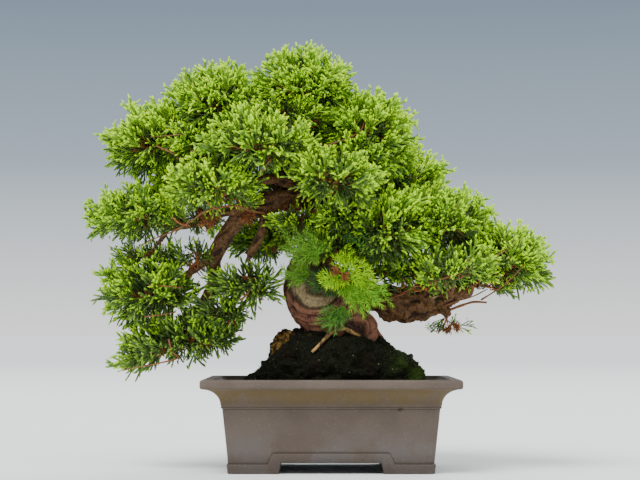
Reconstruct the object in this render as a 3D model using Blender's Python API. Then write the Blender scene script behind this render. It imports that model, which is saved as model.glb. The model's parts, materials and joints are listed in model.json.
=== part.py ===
"""A small juniper bonsai in its unglazed rectangular pot, with one closed solid for each sub-part.

The tables give sizes and places in millimetres, measured from the middle of the pot's underside:
+X is to the right of someone who faces the tree, +Y is away from them and +Z is up.
Meshes are in metres. The last step moves everything so that the origin is the middle of the
whole object's footprint.
"""

import math

import bmesh
import bpy
import numpy as np
from mathutils import Matrix, Vector

MM = 0.001
CLEAR = 0.3  # gap that touching solids keep
WELD = 0.00001  # metres within which a curve's caps join its tube
SEED = 11

# The pot, from outside and from its side, as half sizes at the feet and steps out from there.
POT_HALF_X = 52.6
POT_HALF_Y = 39.2
POT_CORNER = 3.0
POT_FLOOR = 9.5
POT_OUTSIDE = (  # height, distance out from the foot's outline
    (0.0, -0.5),
    (0.5, 0.0),
    (4.7, 0.4),
    (5.1, -0.3),
    (32.9, 2.6),
    (33.5, 3.4),
    (37.0, 4.0),
    (39.8, 5.7),
    (41.8, 8.6),
    (42.8, 11.8),
    (44.0, 13.3),
    (46.6, 13.4),
)
POT_RIM = ((47.7, 12.2), (47.7, 8.2))
POT_INSIDE = ((46.9, 7.2), (42.0, 3.2), (38.0, 0.2), (33.0, -1.8), (POT_FLOOR, -4.0))
WALL_START = 5.2  # height just over the crease that runs round the feet
FOOT_GAP_TOP = 5.5
FOOT_GAP_HALF = 25.6
FOOT_GAP_SPLAY = 1.4
PANEL_BOTTOM = 3.0
PANEL_TOP = 10.4
PANEL_HALF = 29.2
PANEL_SPLAY = 3.0
PANEL_PROUD = 0.7
PANEL_CORE = ((POT_FLOOR - 2, -4.6), (POT_FLOOR + 8, -3.6))  # keeps the panels out of the pot's inside
SIDE_SHARE = POT_HALF_Y / POT_HALF_X
DRAIN_RADIUS = 5.0
DRAIN_X = 36.0
DRAIN_SIDES = 14
DRAIN_DEPTH = 12.0
THROUGH = 80.0  # reach of the cutters that go right through under the pot

SOIL_TOP = 45.0
SOIL_CROWN = 0.6
SOIL_SLOPE = 4.0  # width of the slope at the soil's edge
SOIL_CLEAR = 0.4

MOUND_MIDDLE = 3.5
MOUND_HALF_X = 46.2
MOUND_HALF_Y = 31.0
MOUND_FOOT = SOIL_TOP + SOIL_CROWN + CLEAR
MOUND_STEEP = 0.42  # the smaller, the steeper the sides and the flatter the ridge
MOUND_LOBES = ((3, 0.05, 0.6), (7, 0.03, 0.0))  # lobes round the outline: their number, depth and turn
MOUND_AROUND = 20
MOUND_UP = 11
MOUND_RIDGE = (  # place along X, height of the ridge above the pot's underside
    (-43.0, 53.0),
    (-37.5, 57.0),
    (-32.0, 62.0),
    (-28.5, 71.5),
    (-24.0, 74.0),
    (-12.0, 73.2),
    (26.0, 69.4),
    (34.0, 65.5),
    (43.0, 62.5),
    (49.0, 57.0),
)

TRUNK_SEAT = 69.0
TRUNK_FLATNESS = 0.78  # depth of the trunk's section over its width, low down
FLAT_HEIGHTS = (112.0, 94.0)  # where the flattening starts, and where it is full
TRUNK_SIDES = 16
TRUNK_SPACING = 6.0
TRUNK = (  # x, y, z, radius
    (9.8, 0, 59, 22.0),
    (7.0, 0, 69, 20.2),
    (3.8, -1, 77, 19.2),
    (-2.5, -3, 87, 19.4),
    (-7.2, -3, 96.5, 17.2),
    (-7.3, 1, 107, 12.7),
    (-2.0, 6, 118, 9.6),
    (-0.4, 7, 130, 8.5),
    (-6.8, 3, 141, 8.2),
    (-16.3, -2, 149, 7.4),
    (-21.5, -4, 160, 6.1),
    (-20.0, -2, 173, 4.8),
    (-14.7, 2, 185, 2.9),
)
FLARE_LOBES = 5
FLARE_DEPTH = 0.07
FLARE_TURN = 0.8
FLARE_HEIGHTS = (90.0, 68.0)

# The old root that arches out from under the trunk. x, y, z, radius.
SURFACE_ROOT = ((14.5, -15.0, 69.3, 1.2), (11.4, -17.5, 71.3, 1.15), (8.3, -19.5, 73.0, 1.1), (4.6, -21, 73.1, 1.0),
                (1.0, -22.8, 71.8, 0.95), (-1.9, -25.2, 69.6, 0.9), (-4.7, -27.8, 66.6, 0.85), (-7.6, -29.6, 63.6, 0.8),
                (-9.8, -29.4, 61.6, 0.7))
ROOT_SIDES = 8
ROOT_SPACING = 2.6

# Each bough leaves its parent's middle at its first point. x, y, z, radius.
BOUGHS = {
    "left_shoulder": ("trunk", ((-11, 0, 143.5, 6.4), (-24, -6, 141.5, 6.3), (-36, -9, 138.3, 5.8),
                                (-45, -10, 135.5, 5.0))),
    "left_drop": ("left_shoulder", ((-44.5, -10, 135.6, 4.8), (-50.5, -8, 129, 4.3), (-57.5, -6, 118.5, 4.0),
                                    (-61.8, -5, 108.5, 3.8), (-61, -3, 98, 3.8), (-65.7, -2, 88.6, 3.0),
                                    (-71.5, 0, 81, 2.0))),
    "drop_side": ("left_drop", ((-60, -5, 112, 2.6), (-67, -6, 108, 2.3), (-76, -5, 101.5, 1.7))),
    "left_long": ("left_shoulder", ((-41, -9, 136.8, 3.0), (-50, -16, 135.2, 2.9), (-61.8, -19, 132.5, 2.6),
                                    (-73, -16, 127.8, 2.2), (-84, -11, 126.5, 1.7))),
    "inner_drop": ("left_shoulder", ((-35.5, -9, 137.5, 2.7), (-34.5, -13, 129.5, 2.6), (-37.8, -14, 119.3, 2.3),
                                     (-43, -14, 111.5, 2.0))),
    "right_low": ("trunk", ((-3, 3, 101.5, 6.4), (22, 6, 91.2, 7.0), (36.7, 4, 86.8, 8.4), (51.4, 2, 88.2, 7.2),
                            (64, 0, 91.8, 5.2), (74, 0, 97, 3.2))),
    "right_spur": ("right_low", ((56.6, 0, 88.5, 3.4), (60.6, -3, 82.6, 2.5), (61.6, -4, 80.5, 1.9))),
    "right_rise": ("right_low", ((48, 2, 88.5, 4.4), (51.5, 3, 99, 3.4), (54.5, 1, 108, 2.6))),
    "right_front": ("right_low", ((60, 1, 90.5, 3.2), (62, -10, 94.2, 2.4), (63.5, -15.5, 97, 1.8))),
    "upper_left": ("trunk", ((-21, -4, 159.5, 4.3), (-36.3, -4, 164, 3.7), (-50.6, -2, 167, 3.1),
                             (-66.6, 0, 168.5, 2.5), (-74.5, 2, 169.6, 1.9))),
    "top_left": ("trunk", ((-20, -2, 173, 3.3), (-31, -2, 179, 2.7), (-39, -1, 183, 2.0))),
    "upper_right": ("trunk", ((-21, -4, 161, 3.8), (-9, -3, 166.8, 3.1), (1.5, -2, 170.5, 2.2))),
    "front_left": ("trunk", ((-16.3, -2, 148.5, 3.7), (-27.6, -17, 151, 2.9), (-41, -28, 149.7, 2.0))),
    "front_upper": ("trunk", ((-21.5, -4, 159.8, 3.3), (-25, -17, 162.5, 2.6), (-28.5, -25, 164, 1.9))),
    "front_right": ("trunk", ((-6.8, 3, 140.7, 3.8), (-3, -15, 143.8, 2.9), (-1, -24, 146, 2.1))),
    "right_mid": ("trunk", ((-0.4, 7, 130.3, 4.4), (9.5, 0, 130, 3.4), (16, -6, 129.2, 2.5))),
    "front_shoot": ("trunk", ((-7.3, 1, 106, 2.6), (-2, -12, 108.5, 1.7), (1.5, -18, 109.5, 1.2))),
    "back_left": ("trunk", ((-16.3, -2, 148.5, 3.8), (-30, 16, 152.4, 3.0), (-46, 30, 155.5, 2.2))),
    "back_right": ("trunk", ((-6.8, 3, 140.7, 3.8), (6.7, 21, 145.1, 3.0), (18, 33, 147.5, 2.2))),
    "back_low": ("trunk", ((-2, 6, 119.6, 3.8), (-0.5, 23, 121.4, 2.8), (1.2, 34, 123, 2.1))),
    "back_upper": ("trunk", ((-21.5, -4, 161, 3.4), (-20.2, 14, 167.5, 2.7), (-19, 26, 171, 2.0))),
    "back_inner": ("trunk", ((-0.4, 7, 128.2, 3.8), (-12.2, 22, 126.7, 2.8), (-23, 31, 125, 2.0))),
}

STOUT = 4.5  # boughs thicker than this where they start have more sides than the others
STOUT_SIDES = 8
SLIM_SIDES = 6
BOUGH_SPACING = 7.0
FINE_SPACING = 1.5  # spacing of the points that distances to limbs are measured from

# Each mass of foliage: its limb, the middle and half sizes of its space, and its tilt about Y
# in degrees, with the right side up where that is positive.
MASSES = {
    "apex": ("trunk", (-15, 1, 200), (28, 37, 23.5), 0),
    "top_left": ("top_left", (-62, 0, 192), (29, 39, 23), 20),
    "top_right": ("upper_right", (20, -2, 173), (28, 39, 28), -30),
    "left_upper": ("upper_left", (-95, 3, 173), (27, 35, 22), 12),
    "front_upper": ("front_upper", (-38, -42, 167), (31, 28, 19), 0),
    "front_left": ("front_left", (-62, -38, 147), (26, 28, 16), 6),
    "left_mid": ("left_long", (-104, -5, 134), (27.5, 35, 17), 8),
    "front_right": ("front_right", (2, -41, 150), (25, 28, 19), -8),
    "right_inner": ("right_mid", (31, -20, 125), (23, 31, 23), -10),
    "right_upper": ("right_rise", (60, 0, 130), (28, 39, 21), -16),
    "right_tip": ("right_low", (93, 0, 110), (27, 33, 19), -14),
    "right_under": ("right_front", (65, -31, 104), (25, 20, 13), 4),
    "right_sprig": ("right_spur", (62.6, -4, 75.5), (13, 10, 7.5), 0),
    "front_young": ("front_shoot", (8, -28, 104), (21, 14, 22), 0),
    "drop_upper": ("drop_side", (-97, -2, 93), (27, 28, 22), 0),
    "drop_low": ("left_drop", (-82, 0, 67), (38, 26, 17.5), 15),
    "drop_right": ("inner_drop", (-46, -18, 96), (22, 17, 15), 0),
    "back_inner": ("back_inner", (-38, 40, 123), (22, 23, 14), 0),
    "back_upper": ("back_upper", (-17, 48, 180), (42, 29, 27), 0),
    "back_left": ("back_left", (-72, 44, 160), (32, 30, 22), 8),
    "back_right": ("back_right", (38, 46, 151), (31, 30, 25), -12),
    "back_low": ("back_low", (10, 49, 122), (28, 25, 19), 0),
}
OPEN_MASSES = ("right_sprig", "front_young", "drop_right")
SPRIG_HALF = 11.0  # a space with a half size under this is a sprig's
FLAT_UNDER = -0.45  # pads carry no sprays on the part of their underside lower than this
OPEN_UNDER = -0.9  # the same for open masses

CORE_REACH = 0.70  # how far a dense mass's core fills its space
CORE_TUFTS = 0.16  # how much its tufts and hollows stray from that, as a share of it
CORE_CELL = 0.88  # how far it may fill the way to a neighbour's space
CORE_STEPS = 45
CORE_LEAST = 0.12
NEAR_CORE = CORE_REACH + 0.3  # limbs that come as near as this are cut out of the core
SHARE_GAP = 0.07  # what neighbouring spaces leave between them, as a share of their size
LIMB_GAP = 0.9
CORE_LIMB_GAP = 0.7
DENSE_SPRAYS = 14
OPEN_SPRAYS = 11
SPARE_SPRAYS = 1.25  # places tried for each spray that is wanted
NUDGE = 0.10
UP_LEAN = 0.35  # how far the sprays of a dense mass turn up from straight outward
SIZE_RANGE = (0.85, 1.15)
FIRST_TRY = (0.93, 1.0)  # how far through its space a spray's tip starts
STEP_IN = 0.05
TRIES = 8
SPRAY_APART = 1.5  # what sprays of an open mass leave between them
SPRAY_LENGTH = 18.0
OPEN_LENGTH = 0.80  # length of an open mass's sprays, as a share of that
SMALL_LENGTH = 0.52  # the same for a sprig
SPRAY_WIDTH = 0.86  # of its length
SPRAY_THICK = 0.11  # of its length, in its middle
SPRAY_SUNK = 3.0
MIDDLE_AT = 0.48  # how far along a spray its thickest point lies
TWIG_RADIUS = 0.55
TWIG_TAPER = 0.7
FORK_SHARE = 0.45
KNOT_TAPER = 0.85
TWIG_OVERLAP = 0.8
TWIG_GAP = 0.04  # what a twig leaves to a neighbour's space
HUB_AWAY = 2.5  # where an open mass starts to fork, measured from its stem's start
STEM_TAPER = 0.8
HOLD_START = 0.45  # where the twig that holds a dense mass's outer spray starts, from the middle outward
HOLD_RADII = (0.8, 0.45)


def finish(name, colour, roughness):
    """A plain Principled material. The colour is sRGB, from 0 to 255."""
    made = bpy.data.materials.new(name)
    made.use_nodes = True
    linear = [((c / 255 + 0.055) / 1.055) ** 2.4 for c in colour]
    shader = made.node_tree.nodes["Principled BSDF"]
    shader.inputs["Base Color"].default_value = (*linear, 1)
    shader.inputs["Roughness"].default_value = roughness
    shader.inputs["Metallic"].default_value = 0
    made.diffuse_color = (*linear, 1)
    return made


def collection(name):
    made = bpy.data.collections.new(name)
    bpy.context.scene.collection.children.link(made)
    return made


def keep(bm, name, home, material=None):
    """Turns a bmesh into an object of the collection, shaded smooth with sharp edges."""
    mesh = bpy.data.meshes.new(name)
    bm.to_mesh(mesh)
    bm.free()
    made = bpy.data.objects.new(name, mesh)
    home.objects.link(made)
    if material:
        mesh.materials.append(material)
        mesh.shade_smooth()
        mesh.set_sharp_from_angle(angle=math.radians(35))
    return made


def as_cutter(obj):
    obj.hide_render = True
    obj.display_type = "WIRE"
    return obj


def cut(obj, cutter, operation="DIFFERENCE"):
    made = obj.modifiers.new(operation.lower(), "BOOLEAN")
    made.operation = operation
    made.object = cutter


def settle(obj):
    """Replaces an object's mesh by what its modifiers make of it."""
    graph = bpy.context.evaluated_depsgraph_get()
    graph.update()
    mesh = bpy.data.meshes.new_from_object(obj.evaluated_get(graph))
    obj.modifiers.clear()
    old = obj.data
    obj.data = mesh
    bpy.data.meshes.remove(old)


def drop(obj):
    bpy.data.objects.remove(obj)


def rounded_face(bm, half_x, half_y, corner, height):
    """A flat rectangle with rounded corners, in millimetres."""
    bmesh.ops.create_grid(bm, x_segments=1, y_segments=1, size=1)
    for v in bm.verts:
        v.co = (v.co.x * half_x * MM, v.co.y * half_y * MM, height * MM)
    bmesh.ops.bevel(bm, geom=bm.verts[:], offset=corner * MM, segments=2, profile=0.5, affect="VERTICES")
    return bm.faces[:][0]


def lift(bm, face, up, out):
    """Extrudes a rounded face upward and moves its four sides out by the same amount."""
    closes_below = len(bm.faces) == 1
    made = bmesh.ops.extrude_face_region(bm, geom=[face])["geom"]
    top = [g for g in made if isinstance(g, bmesh.types.BMFace)][0]
    if not closes_below:
        bmesh.ops.delete(bm, geom=[face], context="FACES_ONLY")
    for v in top.verts:
        v.co.x += out * MM * math.copysign(1, v.co.x)
        v.co.y += out * MM * math.copysign(1, v.co.y)
        v.co.z += up * MM
    return top


def lifted_solid(profile, half_x, half_y, corner):
    """A solid whose rounded outline steps up and out through the heights of a profile."""
    bm = bmesh.new()
    height, out = profile[0]
    face = rounded_face(bm, half_x + out, half_y + out, corner, height)
    for next_height, next_out in profile[1:]:
        face = lift(bm, face, next_height - height, next_out - out)
        height, out = next_height, next_out
    bmesh.ops.recalc_face_normals(bm, faces=bm.faces[:])
    return bm


def foot_block(name, home, half, splay, low, high, reach, along_x):
    """A block with splayed ends that runs right under the pot: half wide at the top, wider below."""
    bm = bmesh.new()
    bmesh.ops.create_cube(bm, size=2)
    for v in bm.verts:
        wide = half + (splay if v.co.z < 0 else 0)
        across, along = v.co.x * wide, v.co.y * reach
        z = low if v.co.z < 0 else high
        v.co = Vector((along, across, z) if along_x else (across, along, z)) * MM
    bmesh.ops.recalc_face_normals(bm, faces=bm.faces[:])
    return as_cutter(keep(bm, name, home))


def pot_out(height):
    """How far out the pot's outer side stands at a height, by its profile up to the rim."""
    return float(np.interp(height, [h for h, _ in POT_OUTSIDE], [o for _, o in POT_OUTSIDE]))


def foot_panel(name, home, half_side, half_wide, along_x):
    """The raised panel over the gap between two feet, on both of a pair of opposite walls."""
    bm = bmesh.new()
    bmesh.ops.create_cube(bm, size=2)
    for v in bm.verts:
        z = PANEL_BOTTOM if v.co.z < 0 else PANEL_TOP
        wide = half_wide + PANEL_SPLAY * (PANEL_TOP - z) / (PANEL_TOP - FOOT_GAP_TOP)
        face_out = half_side + pot_out(max(z, WALL_START)) + PANEL_PROUD
        across, along = v.co.x * wide, v.co.y * face_out
        v.co = Vector((along, across, z) if along_x else (across, along, z)) * MM
    bmesh.ops.recalc_face_normals(bm, faces=bm.faces[:])
    return keep(bm, name, home)


def make_pot(parts, cutters, clay):
    """One fired piece: lipped wall, floor, four feet, and a raised panel between each two feet."""
    profile = (*POT_OUTSIDE, *POT_RIM, *POT_INSIDE)
    pot = keep(lifted_solid(profile, POT_HALF_X, POT_HALF_Y, POT_CORNER), "pot", parts, clay)
    core = keep(lifted_solid(PANEL_CORE, POT_HALF_X, POT_HALF_Y, POT_CORNER), "pot_core", cutters)
    panels = [
        foot_panel("panel_front_back", cutters, POT_HALF_Y, PANEL_HALF, False),
        foot_panel("panel_sides", cutters, POT_HALF_X, PANEL_HALF * SIDE_SHARE, True),
    ]
    for panel in panels:
        # The panel keeps only its two ends: the pot's inside is taken out of it.
        cut(panel, core)
        cut(pot, panel, "UNION")
        as_cutter(panel)
    as_cutter(core)
    for along_x, half in ((False, FOOT_GAP_HALF), (True, FOOT_GAP_HALF * SIDE_SHARE)):
        name = "gap_sideways" if along_x else "gap_front_back"
        cut(pot, foot_block(name, cutters, half, FOOT_GAP_SPLAY, -1, FOOT_GAP_TOP, THROUGH, along_x))
    for side in (-1, 1):
        bm = bmesh.new()
        bmesh.ops.create_cone(
            bm, cap_ends=True, segments=DRAIN_SIDES, radius1=DRAIN_RADIUS * MM, radius2=DRAIN_RADIUS * MM,
            depth=DRAIN_DEPTH * MM, matrix=Matrix.Translation((side * DRAIN_X * MM, 0, POT_FLOOR * MM)),
        )
        cut(pot, as_cutter(keep(bm, f"drain_{side}", cutters)))
    settle(pot)
    return pot


def make_soil(parts, earth):
    """The packed earth that fills the pot to just under its rim."""
    inner = [(h, o - SOIL_CLEAR) for h, o in reversed(POT_INSIDE)]
    inner[0] = (POT_FLOOR + CLEAR, inner[0][1])
    below = [(h, o) for h, o in inner if h < SOIL_TOP]
    at_top = float(np.interp(SOIL_TOP, [h for h, _ in inner], [o for _, o in inner]))
    profile = (*below, (SOIL_TOP, at_top), (SOIL_TOP + SOIL_CROWN, at_top - SOIL_SLOPE))
    return keep(lifted_solid(profile, POT_HALF_X, POT_HALF_Y, POT_CORNER), "soil", parts, earth)


def mound_point(direction, grow=0.0):
    """A direction of the unit sphere, carried to the mound: steep sides, a ridge that slopes, flat below."""
    dx, dy, dz = direction
    bearing = math.atan2(dy, dx)
    lobes = 1 + sum(depth * math.sin(count * bearing + turn) for count, depth, turn in MOUND_LOBES)
    x = MOUND_MIDDLE + (MOUND_HALF_X + grow) * dx
    y = (MOUND_HALF_Y + grow) * dy * lobes
    ridge = float(np.interp(x, [p[0] for p in MOUND_RIDGE], [p[1] for p in MOUND_RIDGE]))
    rise = max(dz, 0) ** MOUND_STEEP
    return Vector((x, y, MOUND_FOOT + (ridge + grow - MOUND_FOOT) * rise)) * MM


def make_mound(name, home, material=None, grow=0.0):
    """The mossy old root mass that the tree sits on."""
    bm = bmesh.new()
    bmesh.ops.create_uvsphere(bm, u_segments=MOUND_AROUND, v_segments=MOUND_UP, radius=1)
    for v in bm.verts:
        v.co = mound_point(v.co, grow)
    bmesh.ops.dissolve_limit(bm, angle_limit=math.radians(1), verts=bm.verts[:], edges=bm.edges[:])
    bmesh.ops.triangulate(bm, faces=bm.faces[:])
    return keep(bm, name, home, material)


def smooth_path(keys, spacing):
    """Catmull-Rom through key points of x, y, z and radius, sampled about every spacing millimetres."""
    keys = np.array(keys, float)
    padded = np.vstack([2 * keys[0] - keys[1], keys, 2 * keys[-1] - keys[-2]])
    out = []
    for i in range(1, len(padded) - 2):
        before, a, b, after = padded[i - 1 : i + 3]
        count = max(1, round(float(np.linalg.norm(b[:3] - a[:3])) / spacing))
        for t in np.arange(count) / count:
            out.append(0.5 * (2 * a + (b - before) * t + (2 * before - 5 * a + 4 * b - after) * t**2
                              + (3 * a - before - 3 * b + after) * t**3))
    out.append(padded[-2])
    return np.array(out)


def limb(name, home, path, sides, material=None, grow=0.0):
    """A round limb that tapers along its path, as a mesh made from a bevelled curve."""
    ends = path[[0, 0, -1]].copy()
    lead = path[-1, :3] - path[-2, :3]
    ends[2, :3] += lead / np.linalg.norm(lead) * grow
    points = np.vstack([path[:-1], ends[2:]])
    curve = bpy.data.curves.new(name, "CURVE")
    curve.dimensions = "3D"
    curve.bevel_depth = 1.0
    curve.bevel_resolution = (sides - 4) // 2
    curve.use_fill_caps = True
    spline = curve.splines.new("POLY")
    spline.points.add(len(points) - 1)
    for p, (x, y, z, r) in zip(spline.points, points):
        p.co = (x * MM, y * MM, z * MM, 1)
        p.radius = (r + grow) * MM
    rod = bpy.data.objects.new(name + "_curve", curve)
    home.objects.link(rod)
    graph = bpy.context.evaluated_depsgraph_get()
    graph.update()
    bm = bmesh.new()
    bm.from_mesh(bpy.data.meshes.new_from_object(rod.evaluated_get(graph)))
    bmesh.ops.remove_doubles(bm, verts=bm.verts[:], dist=WELD)
    drop(rod)
    return keep(bm, name, home, material)


def share_down(height, heights):
    """0 at the first of two heights and above it, growing evenly to 1 at the second and below."""
    above, below = heights
    return float(np.clip((above - height) / (above - below), 0, 1))


def make_trunk(name, home, material=None, grow=0.0):
    """The trunk: a flattened, lobed foot cut flat on the mound, a sweep to the left, and a slim top."""
    path = smooth_path(TRUNK, TRUNK_SPACING)
    made = limb(name, home, path, TRUNK_SIDES, material, grow)
    bm = bmesh.new()
    bm.from_mesh(made.data)
    for v in bm.verts:
        x, y, z = v.co / MM
        near = path[np.argmin(np.linalg.norm(path[:, :3] - (x, y, z), axis=1))]
        angle = math.atan2(y - near[1], x - near[0])
        lobe = 1 + FLARE_DEPTH * share_down(z, FLARE_HEIGHTS) * math.cos(FLARE_LOBES * angle + FLARE_TURN)
        flat = 1 - (1 - TRUNK_FLATNESS) * share_down(z, FLAT_HEIGHTS)
        v.co = Vector((near[0] + (x - near[0]) * lobe, near[1] + (y - near[1]) * lobe * flat, z)) * MM
    seat = Vector((0, 0, (TRUNK_SEAT - grow) * MM))
    bmesh.ops.bisect_plane(
        bm, geom=bm.verts[:] + bm.edges[:] + bm.faces[:], plane_co=seat, plane_no=(0, 0, 1), clear_inner=True
    )
    rim = [e for e in bm.edges if e.is_boundary]
    bmesh.ops.contextual_create(bm, geom=rim)
    bmesh.ops.recalc_face_normals(bm, faces=bm.faces[:])
    bm.to_mesh(made.data)
    bm.free()
    return made


def turned(tilt):
    """The matrix of a space's tilt about Y."""
    return np.array(Matrix.Rotation(-math.radians(tilt), 3, "Y"))


def reach(name, points):
    """How far points lie through a mass's space: 0 in its middle, 1 on its surface."""
    _, middle, half, tilt = MASSES[name]
    local = (np.atleast_2d(points) - middle) @ turned(tilt) / half
    return np.linalg.norm(local, axis=1)


def own_space(name, points, gap=SHARE_GAP):
    """True where points are in this mass's space and nearer to it than to any other."""
    own = reach(name, points)
    others = np.min([reach(n, points) for n in MASSES if n != name], axis=0)
    return (own <= 1.0) & (others - own >= gap)


def limb_distance(limbs, points):
    """The distance from points to the nearest limb's surface."""
    points = np.atleast_2d(points)
    return np.min(np.linalg.norm(points[:, None] - limbs[None, :, :3], axis=2) - limbs[None, :, 3], axis=1)


def fork(start, tips, out):
    """Joins tips to a start by twigs: part-way to their middle, then a half of the tips on each side.

    The halves are split across the widest spread, and a twig is thicker the more tips it carries.
    """
    thick = TWIG_RADIUS * math.sqrt(len(tips))
    if len(tips) == 1:
        out.append((start, tips[0], thick, TWIG_RADIUS * TWIG_TAPER))
        return
    middle = tips.mean(axis=0)
    knot = start + (middle - start) * FORK_SHARE
    out.append((start, knot, thick, thick * KNOT_TAPER))
    spread = tips - middle
    widest = np.linalg.svd(spread, full_matrices=False)[2][0]
    order = np.argsort(spread @ widest)
    half = len(tips) // 2
    fork(knot, tips[order[:half]], out)
    fork(knot, tips[order[half:]], out)


def facing(vector):
    """A rotation that carries Z to a vector, as a 4 by 4 matrix."""
    return Vector(vector).to_track_quat("Z", "Y").to_matrix().to_4x4()


def twig(home, start, end, thick, thin):
    """A three-sided twig, with both ends carried a little past the knots it joins."""
    way = end - start
    length = np.linalg.norm(way) + TWIG_OVERLAP * (thick + thin)
    middle = (start + end) / 2
    bm = bmesh.new()
    bmesh.ops.create_cone(
        bm, cap_ends=True, segments=3, radius1=thick * MM, radius2=thin * MM, depth=length * MM,
        matrix=Matrix.Translation(Vector(middle) * MM) @ facing(way),
    )
    return keep(bm, "twig", home)


SPRAY_OUTLINE = (  # three blunt fingers on one root: share of the length, share of the half width
    (0.0, 0.0),
    (0.62, -1.0),
    (0.60, -0.36),
    (1.0, 0.10),
    (0.64, 0.40),
    (0.74, 0.95),
)


def spray_points(root, axis, side, length):
    """The outline of a spray in place, and its middle."""
    along, across = (np.array(shares)[:, None] * length for shares in zip(*SPRAY_OUTLINE))
    outline = root + axis * along + side * across * SPRAY_WIDTH / 2
    return outline, root + axis * length * MIDDLE_AT


def spray(home, root, axis, side, length):
    """A toothed blade, thick in its middle and thin at its edge."""
    outline, middle = spray_points(root, axis, side, length)
    normal = np.cross(axis, side) * length * SPRAY_THICK / 2
    bm = bmesh.new()
    edge = [bm.verts.new(Vector(p) * MM) for p in outline]
    face = bm.faces.new(edge)
    top = bmesh.ops.poke(bm, faces=[face])["verts"][0]
    top.co = Vector(middle + normal) * MM
    under = bm.verts.new(Vector(middle - normal) * MM)
    for i, v in enumerate(edge):
        bm.faces.new((v, under, edge[(i + 1) % len(edge)]))
    bmesh.ops.recalc_face_normals(bm, faces=bm.faces[:])
    return keep(bm, "spray", home)


def even_directions(count, rng):
    """Directions spread evenly over a sphere along a spiral, each nudged a little."""
    i = np.arange(count) + 0.5
    z = 1 - 2 * i / count
    turn = i * math.pi * (3 - math.sqrt(5))
    flat = np.sqrt(1 - z**2)
    found = np.stack([flat * np.cos(turn), flat * np.sin(turn), z], axis=1)
    found += rng.normal(0, NUDGE, found.shape)
    return found / np.linalg.norm(found, axis=1, keepdims=True)


def mass_tips(name, rng, limbs):
    """Where a mass's sprays start and which way they point, kept to its space and off the limbs."""
    _, middle, half, tilt = MASSES[name]
    middle, half = np.array(middle, float), np.array(half, float)
    is_open = name in OPEN_MASSES
    wanted, lowest, up_lean, size_share = DENSE_SPRAYS, FLAT_UNDER, UP_LEAN, 1.0
    if is_open:
        wanted, lowest, up_lean, size_share = OPEN_SPRAYS, OPEN_UNDER, 0.0, OPEN_LENGTH
    if half.min() < SPRIG_HALF:
        size_share = SMALL_LENGTH
    found, taken = [], []
    for way in even_directions(int(wanted * SPARE_SPRAYS), rng):
        if way[2] < lowest:
            continue
        surface = middle + turned(tilt) @ (half * way)
        out = (surface - middle) / np.linalg.norm(surface - middle)
        axis = out + np.array([0, 0, up_lean])
        axis /= np.linalg.norm(axis)
        side = np.cross(axis, rng.normal(0, 1, 3))
        side /= np.linalg.norm(side)
        size = SPRAY_LENGTH * rng.uniform(*SIZE_RANGE) * size_share
        share = rng.uniform(*FIRST_TRY)
        for _ in range(TRIES):
            top = middle + (surface - middle) * share
            root = top - axis * size
            blade, centre = spray_points(root, axis, side, size)
            samples = np.vstack([blade, (blade + np.roll(blade, 1, axis=0)) / 2, (blade + centre) / 2, centre])
            fits = own_space(name, samples).all() and (limb_distance(limbs, samples) > LIMB_GAP).all()
            if fits and is_open:
                line = np.linspace(middle, root, 8)
                fits = bool((limb_distance(limbs, line[2:]) > LIMB_GAP).all())
                apart = [np.linalg.norm(samples[:, None] - other, axis=2).min() for other in taken]
                fits = fits and min(apart, default=np.inf) > SPRAY_APART
            if fits:
                taken.append(samples)
                found.append((root, axis, side, size))
                break
            share -= STEP_IN
    return found


def core_of(name, home, rng):
    """A dense mass's inner lump: a tufted blob that stays in its own space."""
    _, middle, half, tilt = MASSES[name]
    middle, half = np.array(middle, float), np.array(half, float)
    bm = bmesh.new()
    bmesh.ops.create_icosphere(bm, subdivisions=2, radius=1)
    for v in bm.verts:
        way = turned(tilt) @ (half * np.array(v.co))
        shares = np.linspace(CORE_LEAST, 1.0, CORE_STEPS)
        inside = own_space(name, middle + way * shares[:, None])
        limit = shares[int(np.argmin(inside))] if not inside.all() else 1.0
        tuft = CORE_REACH * (1 + CORE_TUFTS * rng.uniform(-1, 1))
        v.co = Vector(middle + way * min(tuft, limit * CORE_CELL)) * MM
    return keep(bm, name + "_core", home)


def largest_piece(obj):
    """Keeps the biggest connected shell of a mesh, which drops loose scraps and fills sealed hollows."""
    bm = bmesh.new()
    bm.from_mesh(obj.data)
    bm.faces.ensure_lookup_table()
    left, shells = set(bm.faces), []
    while left:
        seed = left.pop()
        shell, stack = [seed], [seed]
        while stack:
            for edge in stack.pop().edges:
                for other in edge.link_faces:
                    if other in left:
                        left.remove(other)
                        shell.append(other)
                        stack.append(other)
        shells.append(shell)
    biggest = max(shells, key=lambda s: sum(f.calc_area() for f in s))
    keep_faces = set(biggest)
    bmesh.ops.delete(bm, geom=[f for f in bm.faces if f not in keep_faces], context="FACES")
    bm.to_mesh(obj.data)
    bm.free()


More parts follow.
